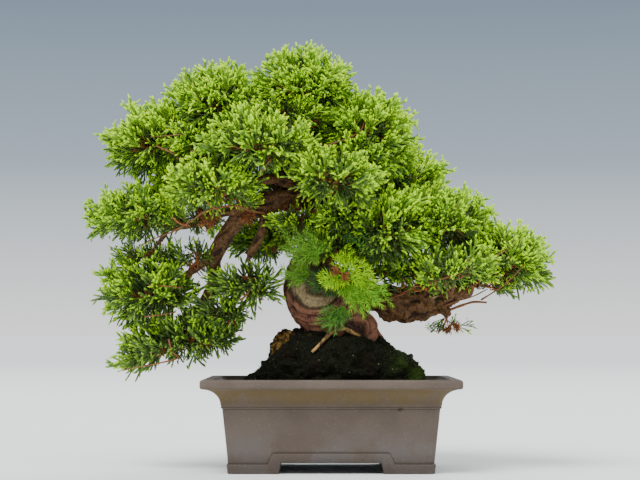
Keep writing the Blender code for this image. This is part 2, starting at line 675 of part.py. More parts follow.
def make_mass(name, parts, limbs, near_limbs, leaf, paths):
    """One mass: stem, forking twigs and sprays joined by a single union, round a core where it is dense."""
    limb_name, middle, half, _ = MASSES[name]
    middle = np.array(middle, float)
    rng = np.random.default_rng([SEED, list(MASSES).index(name)])
    bits = collection(name + "_bits")
    is_open = name in OPEN_MASSES
    tip, before = paths[limb_name][-1], paths[limb_name][-2]
    lead = (tip[:3] - before[:3]) / np.linalg.norm(tip[:3] - before[:3])
    start = tip[:3] + lead * (CLEAR + 0.02)
    sprays = mass_tips(name, rng, limbs)
    roots = np.array([root + axis * SPRAY_SUNK for root, axis, _, _ in sprays])
    thick = min(tip[3] * STEM_TAPER, TWIG_RADIUS * math.sqrt(len(roots)) * 1.1)
    stem_to = start + lead * HUB_AWAY if is_open else middle
    base = twig(parts, start + lead * TWIG_OVERLAP * thick, stem_to, thick, thick * STEM_TAPER)
    twigs = []
    if is_open:
        fork(stem_to, roots, twigs)
    for a, b, r0, r1 in twigs:
        line = np.linspace(a, b, 6)
        if own_space(name, line, TWIG_GAP).all() or (reach(name, line) > 1).any():
            twig(bits, a, b, min(r0, thick), min(r1, thick * KNOT_TAPER))
    if not is_open:
        core = core_of(name, bits, rng)
        for cutter in near_limbs:
            cut(core, cutter)
        settle(core)
    for root, axis, side, size in sprays:
        hold = root + axis * SPRAY_SUNK
        if not is_open and float(reach(name, hold)[0]) > CORE_REACH * 0.9:
            twig(bits, middle + (hold - middle) * HOLD_START, hold, *HOLD_RADII)
        spray(bits, root, axis, side, size)
    join = base.modifiers.new("join", "BOOLEAN")
    join.operation = "UNION"
    join.operand_type = "COLLECTION"
    join.collection = bits
    join.solver = "MANIFOLD"
    settle(base)
    for piece in list(bits.objects):
        drop(piece)
    bpy.data.collections.remove(bits)
    largest_piece(base)
    base.name = "foliage_" + name
    base.data.materials.clear()
    base.data.materials.append(leaf)
    return base


def make_surface_root(parts, cutters, bark, mound_cutter, trunk_cutter):
    """The old root that arches out from under the trunk and down the mound's front."""
    root = limb("surface_root", parts, smooth_path(SURFACE_ROOT, ROOT_SPACING), ROOT_SIDES, bark)
    cut(root, mound_cutter)
    cut(root, trunk_cutter)
    settle(root)
    largest_piece(root)
    root.data.materials.clear()
    root.data.materials.append(bark)
    return root


def centre_footprint(parts):
    """Moves every part so that the middle of the whole object's footprint is the origin."""
    graph = bpy.context.evaluated_depsgraph_get()
    graph.update()
    low, high = np.full(3, np.inf), np.full(3, -np.inf)
    for obj in parts.objects:
        mesh = obj.evaluated_get(graph).to_mesh()
        points = np.array([v.co for v in mesh.vertices])
        low, high = np.minimum(low, points.min(0)), np.maximum(high, points.max(0))
        obj.evaluated_get(graph).to_mesh_clear()
    shift = Vector((-(low[0] + high[0]) / 2, -(low[1] + high[1]) / 2, -low[2]))
    for obj in parts.objects:
        obj.data.transform(Matrix.Translation(shift))


def main():
    for obj in list(bpy.data.objects):
        bpy.data.objects.remove(obj)
    parts, cutters = collection("juniper_bonsai"), collection("cutters")
    clay = finish("fired_clay", (126, 113, 103), 0.75)
    earth = finish("dark_earth", (44, 38, 30), 0.95)
    moss = finish("moss", (62, 62, 30), 0.95)
    bark = finish("juniper_bark", (134, 92, 66), 0.8)
    leaf = finish("scale_foliage", (104, 150, 42), 0.6)
    young = finish("young_needles", (104, 168, 66), 0.6)

    make_pot(parts, cutters, clay)
    make_soil(parts, earth)
    trunk_cutter = as_cutter(make_trunk("trunk_cutter", cutters, grow=CLEAR))
    mound = make_mound("moss_mound", parts, moss)
    cut(mound, trunk_cutter)
    settle(mound)
    largest_piece(mound)
    mound_cutter = as_cutter(make_mound("mound_cutter", cutters, grow=CLEAR))
    make_surface_root(parts, cutters, bark, mound_cutter, trunk_cutter)
    make_trunk("trunk", parts, bark)

    paths = {"trunk": smooth_path(TRUNK, TRUNK_SPACING)}
    wide = {"trunk": as_cutter(make_trunk("trunk_wide", cutters, grow=CORE_LIMB_GAP))}
    slim = {"trunk": trunk_cutter}
    for name, (parent, keys) in BOUGHS.items():
        paths[name] = smooth_path(keys, BOUGH_SPACING)
        sides = STOUT_SIDES if keys[0][3] > STOUT else SLIM_SIDES
        bough = limb("bough_" + name, parts, paths[name], sides, bark)
        cut(bough, slim[parent])
        for sibling, (other, _) in BOUGHS.items():
            if sibling in slim and other == parent and sibling != name:
                cut(bough, slim[sibling])
        slim[name] = as_cutter(limb(name + "_cutter", cutters, paths[name], sides, grow=CLEAR))
        wide[name] = as_cutter(limb(name + "_wide", cutters, paths[name], sides, grow=CORE_LIMB_GAP))
        settle(bough)
        largest_piece(bough)
        bough.data.materials.clear()
        bough.data.materials.append(bark)

    fine = {"trunk": smooth_path(TRUNK, FINE_SPACING)}
    fine.update({n: smooth_path(keys, FINE_SPACING) for n, (_, keys) in BOUGHS.items()})
    limbs = np.vstack(list(fine.values()))
    for name, (_, middle, half, _) in MASSES.items():
        near = [wide[n] for n in paths if (reach(name, fine[n][:, :3]) < NEAR_CORE).any()]
        make_mass(name, parts, limbs, near, young if name == "front_young" else leaf, paths)
    centre_footprint(parts)


main()
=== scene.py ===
"""The looks of a small juniper bonsai in its unglazed pot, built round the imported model.

The sections follow the tree as it is put together: the view and the studio, the pot, the earth, the mossy
root mass, the surface root, the trunk, the boughs, then the crown of twigs, scale-leaved sprays and needles.
Sizes are in millimetres, measured from the middle of the pot's underside, as the model's own tables are.
"""

import json
import math

import bmesh
import bpy
import numpy as np
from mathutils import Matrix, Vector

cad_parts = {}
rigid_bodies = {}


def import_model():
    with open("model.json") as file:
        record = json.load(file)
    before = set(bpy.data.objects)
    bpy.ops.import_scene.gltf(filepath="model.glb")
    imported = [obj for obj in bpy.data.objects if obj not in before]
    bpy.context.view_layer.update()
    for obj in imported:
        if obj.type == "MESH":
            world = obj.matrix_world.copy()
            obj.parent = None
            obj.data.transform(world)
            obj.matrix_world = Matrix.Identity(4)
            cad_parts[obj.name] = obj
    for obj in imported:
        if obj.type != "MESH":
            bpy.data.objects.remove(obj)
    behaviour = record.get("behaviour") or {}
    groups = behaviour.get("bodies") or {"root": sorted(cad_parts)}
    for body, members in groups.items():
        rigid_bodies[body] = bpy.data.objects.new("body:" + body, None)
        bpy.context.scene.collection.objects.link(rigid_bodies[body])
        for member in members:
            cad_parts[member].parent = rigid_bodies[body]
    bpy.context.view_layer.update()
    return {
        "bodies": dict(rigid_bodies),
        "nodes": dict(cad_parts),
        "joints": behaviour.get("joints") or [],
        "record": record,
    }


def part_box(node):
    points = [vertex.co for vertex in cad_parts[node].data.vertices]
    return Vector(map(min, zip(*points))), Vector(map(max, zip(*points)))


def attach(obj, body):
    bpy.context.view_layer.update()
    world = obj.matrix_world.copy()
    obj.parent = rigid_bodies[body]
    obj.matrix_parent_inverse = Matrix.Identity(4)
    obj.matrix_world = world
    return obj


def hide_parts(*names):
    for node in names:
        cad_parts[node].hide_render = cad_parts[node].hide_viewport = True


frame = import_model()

# The view. The tree is seen from a metre away, from about the height of the trunk's foot, through a long
# lens that looks up a little.
MM = 0.001
CAMERA_X = -5.7
CAMERA_AWAY = 1002.5
CAMERA_HEIGHT = 71.8
CAMERA_PITCH = 2.77  # degrees up
FRAME_WIDTH = 640
FOCAL_PIXELS = 1899
SENSOR = 36.0

pot_low, pot_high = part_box("pot")
POT_MIDDLE = np.array([(pot_low.x + pot_high.x) / 2, (pot_low.y + pot_high.y) / 2, 0.0]) / MM

eye = (np.array([CAMERA_X, -CAMERA_AWAY, CAMERA_HEIGHT]) + POT_MIDDLE) * MM
lens = bpy.data.cameras.new("camera")
lens.sensor_width = SENSOR
lens.lens = SENSOR * FOCAL_PIXELS / FRAME_WIDTH
lens.clip_start = 0.01
camera = bpy.data.objects.new("camera", lens)
camera.location = eye
camera.rotation_euler = (math.radians(90 + CAMERA_PITCH), 0, 0)
bpy.context.scene.collection.objects.link(camera)
bpy.context.scene.camera = camera

# The studio: a pale floor, a soft sun high above the front left, a weak fill from the right, a light from
# behind, and a backdrop that turns from pale at the floor to a dull blue above.
FLOOR_RADIUS = 30.0  # metres
FLOOR_STEPS = 96
SKY = ((0.0, "#FBFCFA"), (0.035, "#DDE3E6"), (0.09, "#A2B0BC"), (0.17, "#7E8E9E"),
       (0.32, "#8494A4"), (0.65, "#E6EAEC"))  # upward share of the direction, colour
SKY_STRENGTH = 1.25


def linear(colour):
    """A colour written as sRGB hex, turned to linear light by the sRGB curve."""
    channels = np.array([int(colour[i : i + 2], 16) for i in (1, 3, 5)]) / 255
    return (*np.where(channels > 0.04045, ((channels + 0.055) / 1.055) ** 2.4, channels / 12.92), 1.0)


def add(tree, kind, inputs=None, **settings):
    """Adds a shader node with its settings. Each input is a value, or another node's output to link."""
    made = tree.nodes.new("ShaderNode" + kind)
    for key, value in settings.items():
        setattr(made, key, value)
    for socket, value in (inputs or {}).items():
        if isinstance(value, bpy.types.NodeSocket):
            tree.links.new(value, made.inputs[socket])
        else:
            made.inputs[socket].default_value = value
    return made


def finish_of(name, colour, roughness, **sockets):
    """A Principled material in one colour, with its tree and shader to build on."""
    made = bpy.data.materials.new(name)
    made.use_nodes = True
    shader = made.node_tree.nodes["Principled BSDF"]
    shader.inputs["Base Color"].default_value = linear(colour)
    shader.inputs["Roughness"].default_value = roughness
    for socket, value in sockets.items():
        shader.inputs[socket.replace("_", " ")].default_value = value
    return made, made.node_tree, shader


def mixed(tree, share, low, high, blend="MIX"):
    """The output of a colour mix: low where the share is 0 and high where it is 1."""
    made = add(tree, "Mix", {0: share, 6: low, 7: high}, data_type="RGBA", blend_type=blend)
    return made.outputs[2]


def stretched(tree, value, low, high, to_low=0.0, to_high=1.0):
    """The output of a range map, held at its ends."""
    inputs = {"Value": value, "From Min": low, "From Max": high, "To Min": to_low, "To Max": to_high}
    return add(tree, "MapRange", inputs, interpolation_type="SMOOTHSTEP").outputs[0]


turn = np.arange(FLOOR_STEPS) * 2 * math.pi / FLOOR_STEPS
floor_mesh = bpy.data.meshes.new("floor")
floor_rim = np.stack([np.cos(turn), np.sin(turn), 0 * turn], axis=1) * FLOOR_RADIUS
floor_mesh.from_pydata(floor_rim.tolist(), [], [range(FLOOR_STEPS)])
floor = bpy.data.objects.new("floor", floor_mesh)
bpy.context.scene.collection.objects.link(floor)
# Matt board with a painted pool of light: white where the tree stands and greyer far away, so that it runs
# into the backdrop.
board, board_tree, board_shader = finish_of("matt_board", "#D2D5D5", 0.9)
place = add(board_tree, "TexCoord").outputs["Object"]
far_off = add(board_tree, "VectorMath", {0: place}, operation="LENGTH").outputs["Value"]
painted_light_pool = mixed(board_tree, stretched(board_tree, far_off, 0.3, 4.0), linear("#F6F7F5"), linear("#D0D3D3"))
board_tree.links.new(painted_light_pool, board_shader.inputs["Base Color"])
floor_mesh.materials.append(board)

world = bpy.data.worlds.new("studio")
world.use_nodes = True
bpy.context.scene.world = world
sky = world.node_tree
direction = add(sky, "TexCoord")
upward = add(sky, "SeparateXYZ", {0: direction.outputs["Generated"]}).outputs["Z"]
backdrop = linear(SKY[0][1])
for (below, _), (above, colour) in zip(SKY, SKY[1:]):
    share = add(sky, "MapRange", {"Value": upward, "From Min": below, "From Max": above}).outputs[0]
    backdrop = mixed(sky, share, backdrop, linear(colour))
sky.nodes["Background"].inputs["Strength"].default_value = SKY_STRENGTH
sky.links.new(backdrop, sky.nodes["Background"].inputs["Color"])

LIGHTS = (  # name, place in metres from the tree, angle across in degrees, strength
    ("key", (-0.45, -0.65, 1.35), 32.0, 3.1),
    ("right_fill", (1.1, -0.9, 0.7), 50.0, 0.5),
    ("back", (0.35, 1.0, 1.0), 40.0, 1.2),
)
LIT_HEIGHT = 0.13
for name, place, across, strength in LIGHTS:
    lamp = bpy.data.lights.new(name, "SUN")
    lamp.angle = math.radians(across)
    lamp.energy = strength
    stand = bpy.data.objects.new(name, lamp)
    stand.location = place
    aim = np.array([0, 0, LIT_HEIGHT]) - place
    tip_over = math.atan2(math.hypot(aim[0], aim[1]), -aim[2])
    stand.rotation_euler = (tip_over, 0, math.atan2(aim[1], aim[0]) - math.pi / 2)
    bpy.context.scene.collection.objects.link(stand)

# The pot: one fired piece of unglazed grey-brown stoneware, pressed in a mould. A raised band rises over
# the gap between two feet, a fine bead runs under the cove, and the rim turns out to a round lip.
POT_HALF = np.array([52.6, 39.2])  # half sizes of the foot's outline
POT_CORNER = 3.0
FOOT_GAP = (25.6, 1.4, 5.5)  # half width at its top, how much wider at the ground, height
BAND = (29.2, 3.0, 4.9, 10.4)  # half width of the raised part, its slope, height at the feet and between
SIDE_SHARE = POT_HALF[1] / POT_HALF[0]
POT_FLOOR = 9.5
DRAIN = (36.0, 5.0)  # place along X, radius
DRAIN_DEPTH = 20.0
PIT = (34.8, 32.9, 1.1)  # a small pit in the front: place along X, height, radius
PIT_DEPTH = 0.7
SIDE_STEP = 1.8  # spacing of the outline's samples


def samples_along(half, share):
    """Places along one side: the bends of the foot gap and the band, steps between them, and the corners."""
    bends = np.array([FOOT_GAP[0], sum(FOOT_GAP[:2]), BAND[0], sum(BAND[:2])]) * share
    bends = np.concatenate([bends, bends - 0.12, bends + 0.12])
    inner = half - POT_CORNER
    steps = np.linspace(0, inner, round(inner / SIDE_STEP))
    steps = steps[np.abs(steps[:, None] - bends).min(axis=1) > 0.3]
    corner = inner + POT_CORNER * np.linspace(0, 1, 8)[1:]
    right = np.unique(np.concatenate([steps, bends, corner]).round(4))
    return np.concatenate([-right[:0:-1], right])


def rounded(across, along, out):
    """Carries a rectangular grid to a rounded rectangle that stands out by an offset.

    Inside a corner's square the grid is pulled in by the square-to-disc map: each share is multiplied by the
    root of one less half the other's square.
    """
    made = []
    over = [np.clip(np.abs(p) - (half - POT_CORNER), 0, None) / POT_CORNER for p, half in
            ((across, POT_HALF[0]), (along, POT_HALF[1]))]
    for i, (place, half) in enumerate(((across, POT_HALF[0]), (along, POT_HALF[1]))):
        inner = half - POT_CORNER
        straight = np.clip(np.abs(place), 0, inner) * (inner + out) / inner
        made.append(np.sign(place) * (straight + POT_CORNER * over[i] * np.sqrt(1 - over[1 - i] ** 2 / 2)))
    return made


def plateau(across, along, half, slope):
    """1 over the gap between two feet and 0 past its sloping sides, on the front and on the sides."""
    front = np.clip((half + slope - np.abs(across)) / slope, 0, 1)
    side = np.clip((half * SIDE_SHARE + slope - np.abs(along)) / slope, 0, 1)
    return np.maximum(front, side)


def arc(middle, size, start, end, count):
    """Points on a stretch of an ellipse, as offset and height, between two angles in degrees."""
    angle = np.radians(np.linspace(start, end, count))
    return np.stack([middle[0] + size[0] * np.cos(angle), middle[1] + size[1] * np.sin(angle)], axis=1)


def grid_faces(rows, columns, closed=False):
    """The four corner numbers of each cell of a grid; closed joins its last column to its first."""
    start = np.arange(rows * columns).reshape(rows, columns)
    here, right = (start, np.roll(start, -1, axis=1)) if closed else (start[:, :-1], start[:, 1:])
    return np.stack([here[:-1], right[:-1], right[1:], here[1:]], axis=-1).reshape(-1, 4)


def swell(value, middle, width, power=2):
    """A bell curve, 1 where a value is at its middle. A higher power makes its top flatter."""
    return np.exp(-(((value - middle) / width) ** power))


def border(rows, columns):
    """The numbers of a grid's outer points, once round it."""
    return np.concatenate([
        np.arange(columns),
        columns * np.arange(1, rows) + columns - 1,
        (rows - 1) * columns + np.arange(columns - 2, -1, -1),
        columns * np.arange(rows - 2, 0, -1),
    ])


def piece(name, points, faces, materials, slots=None, smooth_below=40, weld=0.0, **attributes):
    """A mesh object made from points in millimetres and arrays of three- and four-cornered faces."""
    mesh = bpy.data.meshes.new(name)
    places = (np.asarray(points) + POT_MIDDLE) * MM
    faces = [f for f in (faces if isinstance(faces, list) else [faces]) if len(f)]
    corners = np.concatenate([f.ravel() for f in faces])
    sizes = np.concatenate([np.full(len(f), f.shape[1]) for f in faces])
    mesh.vertices.add(len(places))
    mesh.vertices.foreach_set("co", places.astype(np.float32).ravel())
    mesh.loops.add(len(corners))
    mesh.loops.foreach_set("vertex_index", corners.astype(np.int32))
    mesh.polygons.add(len(sizes))
    mesh.polygons.foreach_set("loop_start", np.concatenate([[0], np.cumsum(sizes)[:-1]]).astype(np.int32))
    for material in materials:
        mesh.materials.append(material)
    if slots is not None:
        mesh.polygons.foreach_set("material_index", slots.astype(np.int32))
    mesh.update(calc_edges=True)
    for key, values in attributes.items():
        kept = mesh.attributes.new(key, "FLOAT", "POINT")
        kept.data.foreach_set("value", np.ravel(values).astype(np.float32))
    if weld:
        bm = bmesh.new()
        bm.from_mesh(mesh)
        bmesh.ops.remove_doubles(bm, verts=bm.verts[:], dist=weld * MM)
        bm.to_mesh(mesh)
        bm.free()
    mesh.shade_smooth()
    if smooth_below < 180:
        mesh.set_sharp_from_angle(angle=math.radians(smooth_below))
    made = bpy.data.objects.new(name, mesh)
    bpy.context.scene.collection.objects.link(made)
    return made


across = samples_along(POT_HALF[0], 1.0)
along = samples_along(POT_HALF[1], SIDE_SHARE)
grid_x, grid_y = np.meshgrid(across, along)
count_y, count_x = grid_x.shape
edge = border(count_y, count_x)
edge_x, edge_y = grid_x.ravel()[edge], grid_y.ravel()[edge]
gap_at_edge = FOOT_GAP[2] * plateau(edge_x, edge_y, *FOOT_GAP[:2])
band_at_edge = BAND[2] + (BAND[3] - BAND[2]) * plateau(edge_x, edge_y, *BAND[:2])

# Rows up the outside, as height and offset for every sample of the outline: the band, the body, the rest.
foot_rows = [(gap_at_edge + (band_at_edge - gap_at_edge) * t, out) for t, out in
             ((0, -0.5), (0.03, -0.2), (0.07, 0.0), (0.5, 0.2), (0.86, 0.42), (0.94, 0.36), (1, 0.12))]
TAPER = (2.9, 27.8, 5.1)  # the body's offset grows by the first over the second, from the third height up
CREASE = -0.42
body_rows = [(band_at_edge + 0.18, CREASE + 0 * edge_x)] + [
    (band_at_edge + 0.45 + (32.7 - band_at_edge - 0.45) * t, None) for t in np.linspace(0, 1, 22)]
upper = np.vstack([
    [(2.45, 32.9)],
    arc((2.75, 33.55), (0.62, 0.5), -65, 60, 6),
    arc((13.0, 35.0), (9.5, 8.0), 180, 95, 22),
    arc((12.3, 44.2), (1.15, 1.15), -80, 0, 6),
    arc((12.05, 46.3), (1.4, 1.4), 0, 90, 8),
    arc((8.4, 46.8), (0.9, 0.9), 90, 170, 6),
    [(7.0, 46.2), (5.2, 44.6), (3.2, 42.0), (0.2, 38.0), (-1.8, 33.0), (-3.9, 10.2), (-4.6, POT_FLOOR)],
])
rows = []
for height, out in foot_rows + body_rows:
    offset = (height - TAPER[2]) * TAPER[0] / TAPER[1] - 0.3 if out is None else out + 0 * edge_x
    if out is not None:
        offset = offset + (height - BAND[2]).clip(0) * TAPER[0] / TAPER[1]
    rows.append(np.stack([*rounded(edge_x, edge_y, offset), height + 0 * edge_x], axis=1))
for out, height in upper:
    rows.append(np.stack([*rounded(edge_x, edge_y, out), height + 0 * edge_x], axis=1))
side = np.array(rows)
under_height = FOOT_GAP[2] * plateau(grid_x, grid_y, *FOOT_GAP[:2])
under = np.stack([*rounded(grid_x, grid_y, -0.5), under_height], axis=-1)
inside = np.stack([*rounded(grid_x, grid_y, -4.6), POT_FLOOR + 0 * grid_x], axis=-1)

# The potter's hand leaves the walls a little uneven, and a burst pore leaves the pit.
to_pit = np.hypot(side[..., 0] - PIT[0], side[..., 2] - PIT[1])
in_pit = swell(to_pit, 0, PIT[2], 4) * (side[..., 1] < 0)
side[..., 1] += PIT_DEPTH * in_pit
# Painted shade: the creases over the band and at the foot of the bead, and the pit, are darkened in the
# clay's colour.
crease_rows = np.zeros(len(rows))
crease_rows[[len(foot_rows) - 1, len(foot_rows), len(foot_rows) + 1]] = (0.5, 1.0, 0.6)
crease_rows[len(foot_rows) + len(body_rows) - 1 : len(foot_rows) + len(body_rows) + 2] = (0.35, 0.8, 0.3)
dark = np.maximum(crease_rows[:, None] + 0 * side[..., 0], 1.6 * in_pit)

pot_points = np.vstack([side.reshape(-1, 3), under.reshape(-1, 3), inside.reshape(-1, 3)])
side_faces = grid_faces(len(rows), len(edge), closed=True)
flat_faces = grid_faces(count_y, count_x)
pot_faces = np.vstack([
    side_faces,
    flat_faces[:, ::-1] + side_faces.max() + 1,
    flat_faces + side_faces.max() + 1 + grid_x.size,
])
stains = np.concatenate([dark.ravel(), np.zeros(2 * grid_x.size)])

# Unglazed stoneware: dull and dry, grey-brown, with a yellowish bloom under the lip, a bluish lime haze
# low on the body, dust-grey patches, fine grog specks and a skin that feels like very fine sandpaper.
clay, clay_tree, clay_shader = finish_of("unglazed_stoneware", "#7E7167", 0.82, IOR=1.5)
place = add(clay_tree, "TexCoord").outputs["Object"]
height = add(clay_tree, "SeparateXYZ", {0: place}).outputs["Z"]
patches, clouds, grog = (
    add(clay_tree, "TexNoise", {"Vector": place, "Scale": s, "Detail": d, "Roughness": r}).outputs[0]
    for s, d, r in ((38.0, 5.0, 0.6), (90.0, 6.0, 0.65), (1400.0, 2.0, 0.5))
)
base = mixed(clay_tree, stretched(clay_tree, patches, 0.35, 0.66), linear("#55483F"), linear("#63564C"))
base = mixed(clay_tree, stretched(clay_tree, clouds, 0.52, 0.75, 0, 0.6), base, linear("#5D504A"))
over_bead = add(clay_tree, "MapRange", {"Value": height, "From Min": 0.0335, "From Max": 0.037}).outputs[0]
under_lip = add(clay_tree, "MapRange", {"Value": height, "From Min": 0.0438, "From Max": 0.0425}).outputs[0]
in_cove = add(clay_tree, "Math", {0: over_bead, 1: under_lip}, operation="MULTIPLY").outputs[0]
bloom = add(clay_tree, "Math", {0: in_cove, 1: stretched(clay_tree, clouds, 0.3, 0.62, 0.25, 0.95)},
            operation="MULTIPLY").outputs[0]
base = mixed(clay_tree, bloom, base, linear("#5F4E2C"))
low_down = stretched(clay_tree, height, 0.028, 0.006)
haze = add(clay_tree, "Math", {0: low_down, 1: stretched(clay_tree, patches, 0.42, 0.62, 0, 0.55)},
           operation="MULTIPLY").outputs[0]
base = mixed(clay_tree, haze, base, linear("#5B5B5E"))
# Darker towards the foot.
toward_foot = stretched(clay_tree, height, 0.013, 0.002, 0, 0.55)
base = mixed(clay_tree, toward_foot, base, linear("#372E28"))
base = mixed(clay_tree, stretched(clay_tree, grog, 0.62, 0.72, 0, 0.35), base, linear("#8A7C6C"))
# Painted shade in the creases and the pit.
crease_shade_share = add(clay_tree, "Attribute", attribute_name="stain").outputs["Fac"]
base = mixed(clay_tree, stretched(clay_tree, crease_shade_share, 0.05, 1.0, 0, 0.75), base, linear("#3E3024"))
clay_tree.links.new(base, clay_shader.inputs["Base Color"])
sanded = add(clay_tree, "Bump", {"Height": grog, "Strength": 0.25, "Distance": 0.0003})
wavy = {"Height": clouds, "Strength": 0.3, "Distance": 0.0006, "Normal": sanded.outputs[0]}
clay_tree.links.new(add(clay_tree, "Bump", wavy).outputs[0], clay_shader.inputs["Normal"])
clay_tree.links.new(stretched(clay_tree, patches, 0.3, 0.7, 0.74, 0.9), clay_shader.inputs["Roughness"])

pot = piece("pot_body", pot_points, pot_faces, [clay], smooth_below=38, weld=0.01, stain=stains)
for side_sign in (-1, 1):
    bm = bmesh.new()
    wide = DRAIN[1] * MM
    bmesh.ops.create_cone(bm, cap_ends=True, segments=40, radius1=wide, radius2=wide, depth=DRAIN_DEPTH * MM)
    bore_mesh = bpy.data.meshes.new("bore")
    bm.to_mesh(bore_mesh)
    bm.free()
    bore = bpy.data.objects.new("bore", bore_mesh)
    bore.location = (np.array([side_sign * DRAIN[0], 0, POT_FLOOR]) + POT_MIDDLE) * MM
    bpy.context.scene.collection.objects.link(bore)
    cut = pot.modifiers.new("drain", "BOOLEAN")
    cut.object = bore
    bpy.context.view_layer.update()
    with bpy.context.temp_override(object=pot, active_object=pot):
        bpy.ops.object.modifier_apply(modifier=cut.name)
    bpy.data.objects.remove(bore)
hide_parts("pot")
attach(pot, "root")

# The earth: akadama grit and old compost packed to just under the rim, damp and almost black, with crumbs
# standing up out of it.
SOIL_TOP = 45.0
SOIL_CELL = 1.1
SOIL_INSET = 0.2  # what the grit leaves to the earth's edge
SKIRT = (0.94, 6.0)  # the underside's share of the top's size, and how far below it lies
CRUMB = ((2.6, 0.55), (1.1, 0.35))  # size of the lumps and how far they stand up


def lumps(points, size, seed):
    """Smooth random relief between -1 and 1.

    Values are dealt to the corners of cubes of a size in millimetres, and blended inside each cube with the
    eased weight 3t^2 - 2t^3 along every axis.
    """
    table = np.random.default_rng(seed).uniform(-1, 1, (32, 32, 32))
    scaled = np.asarray(points) / size
    cell = np.floor(scaled).astype(int)
    eased = scaled - cell
    eased = eased * eased * (3 - 2 * eased)
    total = 0
    for corner in np.ndindex(2, 2, 2):
        weight = np.prod(np.where(corner, eased, 1 - eased), axis=-1)
        at = (cell + corner) % 32
        total = total + weight * table[at[..., 0], at[..., 1], at[..., 2]]
    return total


soil_low, soil_high = (np.array(c) / MM - POT_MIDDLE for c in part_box("soil"))
soil_half = (soil_high - soil_low)[:2] / 2 - SOIL_INSET
steps_x, steps_y = (np.linspace(-h, h, round(2 * h / SOIL_CELL)) for h in soil_half)
soil_x, soil_y = np.meshgrid(steps_x, steps_y)
flat = np.stack([soil_x, soil_y, 0 * soil_x], axis=-1)
rise = sum(height * lumps(flat, size, 31 + i) for i, (size, height) in enumerate(CRUMB))
top = np.stack([soil_x, soil_y, SOIL_TOP + rise], axis=-1)
skirt = np.stack([soil_x * SKIRT[0], soil_y * SKIRT[0], SOIL_TOP - SKIRT[1] + 0 * soil_x], axis=-1)
rim = border(*soil_x.shape)
soil_grid = grid_faces(*soil_x.shape)
soil_wall = np.stack([rim + soil_x.size, np.roll(rim, -1) + soil_x.size, np.roll(rim, -1), rim], axis=1)
damp, damp_tree, damp_shader = finish_of("damp_grit", "#2C261E", 0.95, Specular_IOR_Level=0.2)
place = add(damp_tree, "TexCoord").outputs["Object"]
grains = add(damp_tree, "TexVoronoi", {"Vector": place, "Scale": 700.0})
by_grain = stretched(damp_tree, grains.outputs["Color"], 0.3, 0.9)
brown = mixed(damp_tree, by_grain, linear("#1F1A14"), linear("#4A3D2E"))
mossy = add(damp_tree, "TexNoise", {"Vector": place, "Scale": 60.0, "Detail": 4.0}).outputs[0]
damp_tree.links.new(mixed(damp_tree, stretched(damp_tree, mossy, 0.5, 0.62), brown, linear("#2E3A1A")),
                    damp_shader.inputs["Base Color"])
gritty = add(damp_tree, "Bump", {"Height": grains.outputs["Distance"], "Strength": 0.6, "Distance": 0.0006})
damp_tree.links.new(gritty.outputs[0], damp_shader.inputs["Normal"])
soil = piece("packed_earth", np.vstack([top.reshape(-1, 3), skirt.reshape(-1, 3)]),
             np.vstack([soil_grid, soil_grid[:, ::-1] + soil_x.size, soil_wall]), [damp], smooth_below=180)
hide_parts("soil")
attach(soil, "root")

# The root mass: the stump of old roots and earth that the trunk sits on, under a skin of dark moss. Its left
# end is bare and woody, and greener moss creeps up on the right.
MOUND_MIDDLE = 3.5
MOUND_HALF = (46.2, 31.0)
MOUND_FOOT = 44.6
MOUND_RIDGE = (
    (-43.0, 53.0),
    (-37.5, 57.0),
    (-32.0, 62.0),
    (-28.5, 71.5),
    (-24.0, 74.0),
    (-12.0, 73.2),
    (26.0, 69.4),
    (34.0, 65.5),
    (43.0, 62.5),
    (49.0, 57.0),
)
MOUND_ROUND, MOUND_ROWS = 340, 130
MOUND_RELIEF = ((9.0, 2.0), (4.2, 2.1), (1.9, 1.1), (0.9, 0.4))
BARE_WOOD = (  # middle of each woody place, and its reach
    (-27.0, -10.0, 67.5, 9.5),
    (-20.0, -17.0, 72.5, 4.5),
    (-12.5, -15.0, 73.5, 3.0),
    (-20.6, -28.0, 63.5, 2.8),
)
MOUND_STEEP = 0.42  # the smaller, the steeper its sides and the flatter its ridge
MOUND_LOBES = ((3, 0.05, 0.6), (7, 0.03, 0.0))  # lobes round the outline: their number, depth and turn
GREEN_FROM = (24, 44)  # places along X where the greener moss starts, and where it is full
ROOT_KEYS = (  # the surface root's path, which the moss leaves clear, and its radius
    (14.5, -15.0, 69.3, 1.2),
    (11.4, -17.5, 71.3, 1.15),
    (8.3, -19.5, 73.0, 1.1),
    (4.6, -21.0, 73.1, 1.0),
    (1.0, -22.8, 71.8, 0.95),
    (-1.9, -25.2, 69.6, 0.9),
    (-4.7, -27.8, 66.6, 0.85),
    (-7.6, -29.6, 63.6, 0.8),
    (-9.8, -29.4, 61.6, 0.7),
)


def smooth_path(keys, spacing):
    """Catmull-Rom through key points of x, y, z and radius, sampled about every spacing millimetres."""
    keys = np.array(keys, float)
    padded = np.vstack([2 * keys[0] - keys[1], keys, 2 * keys[-1] - keys[-2]])
    out = []
    for i in range(1, len(padded) - 2):
        before, a, b, after = padded[i - 1 : i + 3]
        count = max(1, round(float(np.linalg.norm(b[:3] - a[:3])) / spacing))
        t = (np.arange(count) / count)[:, None]
        out.append(0.5 * (2 * a + (b - before) * t + (2 * before - 5 * a + 4 * b - after) * t**2
                          + (3 * a - before - 3 * b + after) * t**3))
    return np.vstack([*out, padded[-2]])


